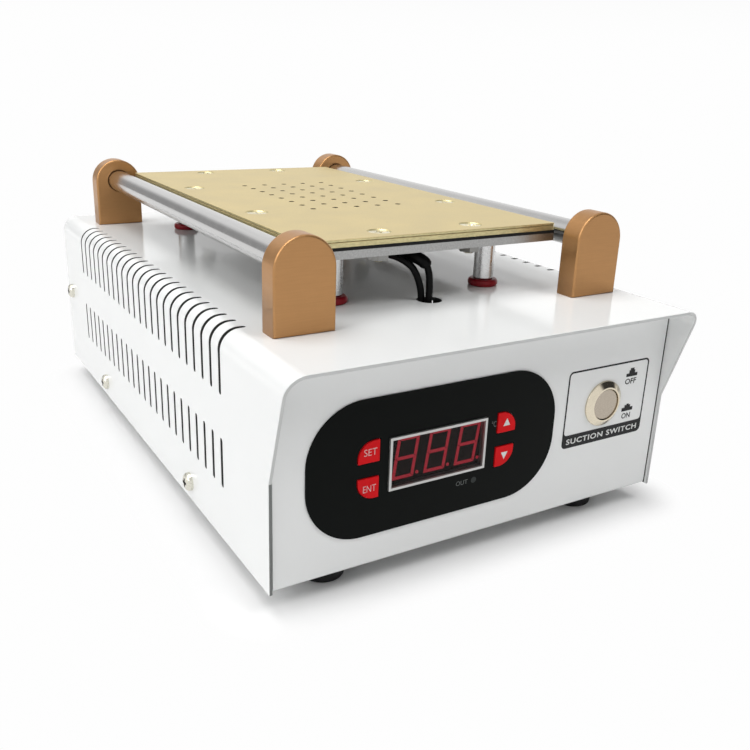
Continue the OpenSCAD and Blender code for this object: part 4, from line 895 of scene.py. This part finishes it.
nickel = drawn("nickel plate", (0.70, 0.63, 0.50), stretch=(1, 1, 1), line=0.0008, contrast=0.03, gloss=0.1,
               height=0.000002)
button_x, button_z = 53.5, 48.7
button_place = standing(button_x, 0, button_z, 90)
ring = turned([(6.23, 2.0, 0.2), (6.85, 2.0, 0.35), (9.0, 0.6, 0.3), (9.0, 0, 0),
               (8.0, 0, 0), (8.0, -22, 0.3), (6.23, -22, 0)], 64, True)
fit(copies("button_ring", ring, [button_place]), "brushed_bezel", nickel, replaces="button_bezel")
groove_pitch = 0.16 * mm
cap_metal, tree, shader = new_material("spun cap metal")
from_axis = reckon_vector(tree, "SUBTRACT", put(tree, "TexCoord").outputs["Object"],
                          in_frame(button_x, 0, button_z))
radius = reckon_vector(tree, "LENGTH", reckon_vector(tree, "MULTIPLY", from_axis, (1, 0, 1)))
groove = reckon(tree, "SINE", reckon(tree, "MULTIPLY", radius, 2 * pi / groove_pitch))
skin = effect(tree, drawn_lines, {"Colour": (0.45, 0.395, 0.325), "Stretch": (1, 1, 1), "Line": 0.0006,
                                  "Contrast": 0.05, "Gloss": 0.24})
set_inputs(tree, shader, {"Base Color": skin["Colour"], "Roughness": skin["Roughness"], "Metallic": 1.0,
                          "Normal": bump(tree, groove, 0.000004)})
cap = turned([(0, 1.6, 0), (6.15, 1.6, 0.45), (6.15, -7.5, 0), (0, -7.5, 0)], 64)
fit(copies("button_cap_turned", cap, [button_place]), "cap_bronze", cap_metal, body="suction_button",
    replaces="button_cap")
dress(nickel, "button_nut")
dark_plastic = moulded("dark plastic", (0.03, 0.03, 0.032), grain=0.0007, gloss=0.45, height=0.00002)
dress(dark_plastic, "button_body")


# Four arched posts of copper-coloured anodised aluminium stand on the cover, each with a blind bore
# for the rail on its inner face, and all edges rounded. A screw from inside the casing holds each.
copper = drawn("copper anodised aluminium", (0.46, 0.24, 0.094), stretch=(0.06, 0.3, 1.0), line=0.0005,
               contrast=0.03, gloss=0.34, height=0.000003, metallic=0.7)
casing_top = cover_high.z
post_low, post_high = from_frame("post_front_left")
post_w, post_t, post_h = post_high.x - post_low.x, post_high.y - post_low.y, post_high.z - casing_top
post_r = post_w / 2
arch_steps = 28
arch = [Vector((-post_r, 0)), Vector((post_r, 0))]
arch += [Vector((post_r * cos(pi * k / arch_steps), post_h - post_r + post_r * sin(pi * k / arch_steps)))
         for k in range(arch_steps + 1)]
rail_low, rail_high = from_frame("rail_left")
rail_up = (rail_low.z + rail_high.z) / 2 - casing_top
socket = circle(0, rail_up, (rail_high.z - rail_low.z) / 2 + 0.05, 32)
for node in post_nodes:
    low, high = from_frame(node)
    front = "front" in node
    facing = 1 if front else -1
    post_x = (low.x + high.x) / 2
    inner_y = high.y if front else low.y
    socket_l = abs((rail_low if front else rail_high).y - inner_y)

    def on_post(u, v, depth, post_x=post_x, inner_y=inner_y, facing=facing):
        return in_frame(post_x - facing * u, inner_y - facing * depth, casing_top + v)
    name = node.removeprefix("post_") + "_post"
    post = sheet(name, [arch], post_t, 0.9, on_post, pits=[(socket, socket_l)])
    fit(post, "copper_anodised", copper, replaces=node)


# The two rails are bare ground bar, with the faint lengthwise marks and spots of use.
# They keep their solids from the frame.
rail_steel = drawn("ground steel bar", (0.60, 0.595, 0.59), stretch=(1.0, 0.02, 1.0), line=0.0004,
                   contrast=0.03, gloss=0.18, height=0.0000003)
dress(rail_steel, "rail_left", "rail_right")


# The hot plate is gold-anodised aluminium, blasted to a fine grain: two sheets laid on each other,
# with a grid of suction holes in the middle and eight countersunk screws near the edges.
gold = blasted("gold anodised aluminium", (0.70, 0.575, 0.295), grain=0.0004, contrast=0.07, gloss=0.46,
               height=0.000014, metallic=0.85)
gold_edge = drawn("sawn gold anodised edge", (0.60, 0.53, 0.29), stretch=(0.3, 0.3, 1.0), line=0.0005,
                  contrast=0.16, gloss=0.4, height=0.00001, metallic=0.9)
# The suction holes' walls are painted near black, as painted shade for the inside of the holes
bore_painted_shade = moulded("painted shade in the suction holes", (0.02, 0.017, 0.012), grain=0.0004, gloss=0.8, height=0.00001,
                     specular=0.1)
plate_low, plate_high = from_frame("hot_plate")
plate_w, plate_l = plate_high.x - plate_low.x, plate_high.y - plate_low.y
plate_t = plate_high.z - plate_low.z
upper_t = 1.0
seam = 0.1
end_screws, edge_screws = (19.98, 86), (44.4, 35)
screw_places = [(deck_x + sx * x, deck_y + sy * y) for x, y in (end_screws, edge_screws)
                for sx in (-1, 1) for sy in (-1, 1)]
hole_pitch = 10
suction_places = [(deck_x + (i - 2) * hole_pitch, deck_y + (j - 3.5) * hole_pitch)
                  for i in range(5) for j in range(8)]


def plate_layer(name, top, thick, sink_r, shank_r=2.15, hole_r=1.15):
    """One sheet of the plate, with countersinks of a given radius at its face."""
    loops = [rounded(deck_x, deck_y, plate_w, plate_l, 0.7, 4)]
    edges = {}
    straight = min(thick, sink_r - shank_r)
    for x, y in screw_places:
        rings = [(sink_r + 0.1, 0, 0), (sink_r + 0.02, 0.03, pi / 8), (sink_r - 0.05, 0.1, pi / 4),
                 (sink_r - straight, straight, pi / 4)]
        if straight < thick:
            rings += [(shank_r, straight, pi / 2), (shank_r, thick, pi / 2)]
        edges[len(loops)] = [(inset - hole_r, depth, lean) for inset, depth, lean in rings]
        loops.append(circle(x, y, hole_r, 32))
    for x, y in suction_places:
        edges[len(loops)] = [(0.06, 0, 0), (0.02, 0.02, pi / 4), (0, 0.06, pi / 2), (0, thick, pi / 2)]
        loops.append(circle(x, y, hole_r, 20))
    # Of its materials, 0 is the face, 1 the sawn edge and the countersinks, 2 the suction holes' walls,
    # painted dark as shade
    piece = sheet(name, loops, thick, 0.2, lambda u, v, depth: in_frame(u, v, top - depth), edges=edges,
                  slots={"rim": 1, "bore": 1})
    centres = [in_frame(x, y, 0).xy for x, y in suction_places]
    for polygon in piece.data.polygons:
        off_centre = min((polygon.center.xy - c).length for c in centres)
        if polygon.normal.z < 0.95 and off_centre < (hole_r + 0.1) * mm:
            polygon.material_index = 2
    fit(piece, "gold_plate", gold, gold_edge, bore_painted_shade, replaces="hot_plate")


plate_layer("hot_plate_upper", plate_high.z, upper_t - seam, sink_r=4.5)
plate_layer("hot_plate_lower", plate_high.z - upper_t, plate_t - upper_t, sink_r=3.5)


# Under the hot plate lie the black silicone heating mat and the clamp plate of mill-finish
# aluminium, held by the yellow-zinc countersunk screws and their nuts.
mat_black = moulded("silicone mat", (0.008, 0.008, 0.008), grain=0.0004, gloss=0.6, height=0.00002,
                    specular=0.2)
dress(mat_black, "heater_pad")
mill_aluminium = drawn("mill aluminium", (0.38, 0.38, 0.375), stretch=(1.0, 0.04, 1.0), line=0.0006,
                       contrast=0.14, gloss=0.34, height=0.00001)
dress(mill_aluminium, "clamp_plate")
yellow_zinc = blasted("yellow zinc plate", (0.84, 0.78, 0.57), grain=0.0006, contrast=0.05, gloss=0.26,
                      height=0.000008)
sunk_screw = crossed([(0, 0, 0), (4.1, 0, 0.12), (2.0, -2.1, 0), (2.0, -10.0, 0), (1.6, -10.4, 0),
                      (0, -10.4, 0)], arm=2.3, width=1.1, depth=1.0)[:3]
screw_face = plate_high.z - 0.35
turn_apart = 17
plate_screws = copies("plate_screws_sunk", sunk_screw,
                      [standing(x, y, screw_face) @ Matrix.Rotation(radians(turn_apart * i), 4, "Z")
                       for i, (x, y) in enumerate(screw_places)])
fit(sharpened(plate_screws), "gold_screw", yellow_zinc, replaces="plate_screws")
steel_grey = blasted("zinc-plated steel", (0.27, 0.27, 0.26), grain=0.0006, contrast=0.08, gloss=0.35,
                     height=0.00001)
dress(steel_grey, "plate_nuts")


# Four turned aluminium legs carry the deck, each on a round-edged red washer on the cover.
# A screw from inside the casing holds each leg.
leg_metal = drawn("turned aluminium", (0.60, 0.60, 0.60), stretch=(1.0, 1.0, 0.04), line=0.0008,
                  contrast=0.06, gloss=0.26, height=0.000002)
washer_red = moulded("red washer", (0.28, 0.006, 0.014), grain=0.0005, gloss=0.3, height=0.000008,
                     specular=0.25)
leg_top = from_frame("clamp_plate")[0].z - casing_top
leg = turned([(2.05, leg_top, 0), (4.0, leg_top, 0.3), (4.0, 2.8, 0.5), (2.05, 2.8, 0)], 40, True)
washer = turned([(2.15, 2.8, 0.2), (5.9, 2.8, 1.15), (5.9, 0, 1.0), (2.15, 0, 0)], 48, True)
on_cover_places = [standing(x, y, casing_top) for x, y in leg_places]
fit(copies("deck_legs_turned", leg, on_cover_places), "raw_aluminium", leg_metal, replaces="deck_legs")
fit(copies("leg_washers_round", washer, on_cover_places), "red_washer", washer_red, replaces="leg_washers")


# Two leads run from the heating mat forward under the deck and down through the cover's hole: one
# to the terminal block, and the temperature sensor's, with a short sleeve, to the control board.
def smooth_line(line, steps=5):
    """Points on a smooth curve through the line's points."""
    result = []
    for i in range(len(line) - 1):
        a, b, c, d = line[max(i - 1, 0)], line[i], line[i + 1], line[min(i + 2, len(line) - 1)]
        for k in range(steps):
            t = k / steps
            result.append((2 * b + (c - a) * t + (2 * a - 5 * b + 4 * c - d) * t ** 2
                           + (3 * b - a - 3 * c + d) * t ** 3) / 2)
    return result + [line[-1]]


def drawn_tube(name, line, radius, sides=16):
    """A round tube along a line of points in millimetres, with closed ends; radius may be a list."""
    radii = radius if isinstance(radius, list) else [radius] * len(line)
    points, faces = [], []
    aside = Vector((1, 0, 0))
    for i, here in enumerate(line):
        ahead = (line[min(i + 1, len(line) - 1)] - line[max(i - 1, 0)]).normalized()
        aside = (aside - aside.dot(ahead) * ahead).normalized()
        up = ahead.cross(aside)
        for k in range(sides):
            a = 2 * pi * k / sides
            points.append(in_frame(*(here + radii[i] * (cos(a) * aside + sin(a) * up))))
    for i in range(len(line) - 1):
        for k in range(sides):
            a, b = i * sides + k, i * sides + (k + 1) % sides
            faces.append((a, b, b + sides, a + sides))
    faces.append(tuple(reversed(range(sides))))
    faces.append(tuple(range(len(points) - sides, len(points))))
    return sharpened(new_piece(name, points, faces), 50)


def route(start, drop, run, falls, end, last_steps):
    """A lead's points: straight down, under the deck, down through the hole and on to its end."""
    pad_z, clamp_z = from_frame("heater_pad")[0].z, from_frame("clamp_plate")[0].z
    line = [Vector((*start, z)) for z in (pad_z, pad_z - 1.5, clamp_z + 0.3)]
    for across_share, forward_share, depth in run:
        line.append(Vector((start[0] + across_share * (drop[0] - start[0]),
                            start[1] + forward_share * (drop[1] - start[1]), clamp_z - depth)))
    line += [Vector((*drop, z)) for z in (casing_top + 1, casing_top - 5)]
    for across_share, along_share, height_share in falls:
        line.append(Vector((drop[0] + across_share * (end[0] - drop[0]),
                            drop[1] + along_share * (end[1] - drop[1]),
                            end[2] + height_share * (casing_top - 5 - end[2]))))
    return line + [end + step for step in last_steps]


heater_run = [(0, 0.04, 1.4), (0.02, 0.14, 2.2), (0.07, 0.24, 2.4), (0.23, 0.53, 2.6), (0.44, 0.81, 3.4),
              (0.64, 0.97, 5.6), (0.8, 1.01, 8.8), (0.93, 1.02, 13.8)]
heater_fall = [(0, 0.1, 0.86), (0.1, 0.31, 0.64), (0.35, 0.58, 0.43), (0.75, 0.86, 0.25)]
sensor_run = [(0, 0.04, 1.4), (0.03, 0.14, 2.2), (0.08, 0.24, 2.7), (0.28, 0.54, 2.9), (0.56, 0.8, 3.4),
              (0.84, 0.94, 5.4), (0.96, 0.99, 9), (1, 1, 13.8)]
sensor_fall = [(0.02, 0, 0.69), (0.15, 0.14, 0.37), (0.5, 0.38, 0.14), (0.85, 0.56, 0.02)]
heater_line = smooth_line(route((-20, 62), (-4.2, 41.1), heater_run, heater_fall,
                                Vector((-6.5, 60, 24.2)), [Vector((0, 0, z)) for z in (6.4, 3.2, 0)]))
sensor_line = smooth_line(route((-12, 62), (-2.15, 39.1), sensor_run, sensor_fall,
                                Vector((-10.2, 18.8, 57.8)), [Vector((0, y, 0)) for y in (6.4, 3.2, 0)]))
sleeve_line = sensor_line[28:43]
lead_r = 1.3
sleeve_r = [1.7, 2.2] + [2.3] * (len(sleeve_line) - 4) + [2.2, 1.7]
lead_black = moulded("black lead", (0.0025, 0.0025, 0.0025), grain=0.0008, gloss=0.36, height=0.00001,
                     specular=0.09)
for name, line, radius, node in (("heater_lead_round", heater_line, lead_r, "heater_lead"),
                                 ("sensor_lead_round", sensor_line, lead_r, "sensor_lead"),
                                 ("sensor_sleeve", sleeve_line, sleeve_r, "sensor_lead")):
    fit(drawn_tube(name, line, radius), "black_lead", lead_black, replaces=node)


# The suction path: a turned brass fitting with barbs under the plate, and a clear silicone hose
# that drops through the cover and bends to the pump.
brass = drawn("turned brass", (0.72, 0.52, 0.24), stretch=(0.1, 0.1, 1.0), line=0.0005, contrast=0.08,
              gloss=0.25, height=0.000008)
dress(brass, "suction_fitting", "board_spacers")
clear_silicone, tree, shader = new_material("clear silicone")
skin = effect(tree, moulded_skin, {"Colour": (0.78, 0.79, 0.76), "Grain": 0.0008, "Gloss": 0.3})
set_inputs(tree, shader, {"Base Color": skin["Colour"], "Roughness": skin["Roughness"],
                          "Subsurface Weight": 0.4, "Subsurface Scale": 0.004})
hose_steps = 32
hose_a, hose_d = Vector((deck_x, deck_y, 84.5)), Vector((-34, 179.2, 53))
hose_b, hose_c = hose_a - Vector((0, 0, 30)), hose_d - Vector((0, 28, 0))
hose_line = [Vector((deck_x, deck_y, z)) for z in (102.2, 98, 92, 88)]
for k in range(hose_steps + 1):
    t = k / hose_steps
    u = 1 - t
    hose_line.append(hose_a * u ** 3 + 3 * hose_b * u * u * t + 3 * hose_c * u * t * t + hose_d * t ** 3)
hose_line += [hose_d + Vector((0, y, 0)) for y in (4, 10.2)]
hose = drawn_tube("suction_hose_round", hose_line, 4.0, 24)
fit(hose, "clear_silicone", clear_silicone, replaces="suction_hose")


# Inside the casing: the control board with its parts, the terminal block, the vacuum pump and the
# power supply. They keep their solids, and show a little through the slots.
for finish, height, colour, grain, gloss, nodes in (
        ("green solder mask", 0.00001, (0.02, 0.13, 0.05), 0.002, 0.35, ["control_board"]),
        ("relay blue", 0.00001, (0.03, 0.12, 0.36), 0.0006, 0.3, ["board_relay"]),
        ("winding tape", 0.00002, (0.62, 0.42, 0.06), 0.0015, 0.38, ["board_transformer"]),
        ("ivory plastic", 0.00001, (0.72, 0.68, 0.56), 0.0007, 0.42, ["sensor_socket", "terminal_block"]),
        ("tan rubber", 0.00002, (0.32, 0.17, 0.08), 0.0006, 0.6, ["pump_diaphragm"])):
    dress(moulded(finish, colour, grain, gloss, height), *nodes)
dress(dark_plastic, "key_switches", "pump_case", "pump_cap", "power_supply_terminals")
dress(steel_grey, "pump_rotor", "pump_motor_can", "pump_bracket")
dress(mill_aluminium, "power_supply_case")


# On the rear panel: the mains inlet with its fuse drawer and nickel-plated pins, and the rocker
# switch, moulded in glossy black, with the marks for on and off printed on the rocker.
black_moulding, tree, shader = new_material("black moulding with nickel pins")
black_skin = effect(tree, moulded_skin, {"Colour": (0.018, 0.018, 0.019), "Grain": 0.0006, "Gloss": 0.3})
plated = effect(tree, blasted_grain, {"Colour": (0.66, 0.61, 0.50), "Grain": 0.0005, "Contrast": 0.05,
                                      "Gloss": 0.2})
place = put(tree, "TexCoord").outputs["Object"]
inlet_x, socket_z, socket_mouth, socket_deep = 48.0, 45.5, 265.5, 19.1
pin_w, pin_h = 2.1, 4.1
on_pin = 0.0
for x, z in ((-7, -2), (0, 2), (7, -2)):
    off = reckon_vector(tree, "SUBTRACT", place, in_frame(inlet_x + x, 0, socket_z + z))
    off = put(tree, "SeparateXYZ", {0: reckon_vector(tree, "ABSOLUTE", off)}).outputs
    near = reckon(tree, "MULTIPLY", reckon(tree, "LESS_THAN", off["X"], pin_w / 2 * mm),
                  reckon(tree, "LESS_THAN", off["Z"], pin_h / 2 * mm))
    on_pin = reckon(tree, "ADD", on_pin, near)
before_back = reckon(tree, "GREATER_THAN", put(tree, "SeparateXYZ", {0: place}).outputs["Y"],
                     in_frame(0, socket_mouth - socket_deep, 0).y)
pins = reckon(tree, "MULTIPLY", before_back, on_pin)
set_inputs(tree, shader, {"Base Color": blend(tree, pins, black_skin["Colour"], plated["Colour"]),
                          "Metallic": pins, "Roughness": black_skin["Roughness"],
                          "Normal": bump(tree, black_skin["Height"], 0.00001)})
for node in ("mains_inlet", "fuse_drawer", "rocker_frame", "rocker_switch"):
    dress(black_moulding, node)
    ease_edges(node, 0.25)
rocker_x, rocker_z = 4.0, 40.0
mark_up = 4.2
stroke_w, stroke_h = 0.7, 2.8
stroke = [Vector((rocker_x + sx * stroke_w / 2, rocker_z + mark_up + sz * stroke_h / 2))
          for sx, sz in ((-1, -1), (1, -1), (1, 1), (-1, 1))]
ring_loops = [circle(rocker_x, rocker_z - mark_up, 1.5, 32, False),
              circle(rocker_x, rocker_z - mark_up, 1.0, 32)]
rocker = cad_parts["rocker_switch"]
for name, loops in (("rocker_on_mark", [stroke]), ("rocker_off_mark", ring_loops)):
    mark = printed(name, [loops], socket_mouth)
    mark.data.flip_normals()
    for v in mark.data.vertices:
        hit, spot_on_it, _, _ = rocker.ray_cast(v.co + Vector((0, 0.02, 0)), (0, -1, 0))
        if hit:
            v.co.y = spot_on_it.y + print_gap * mm
    fit(mark, "black_gloss", white_ink, body="power_rocker")
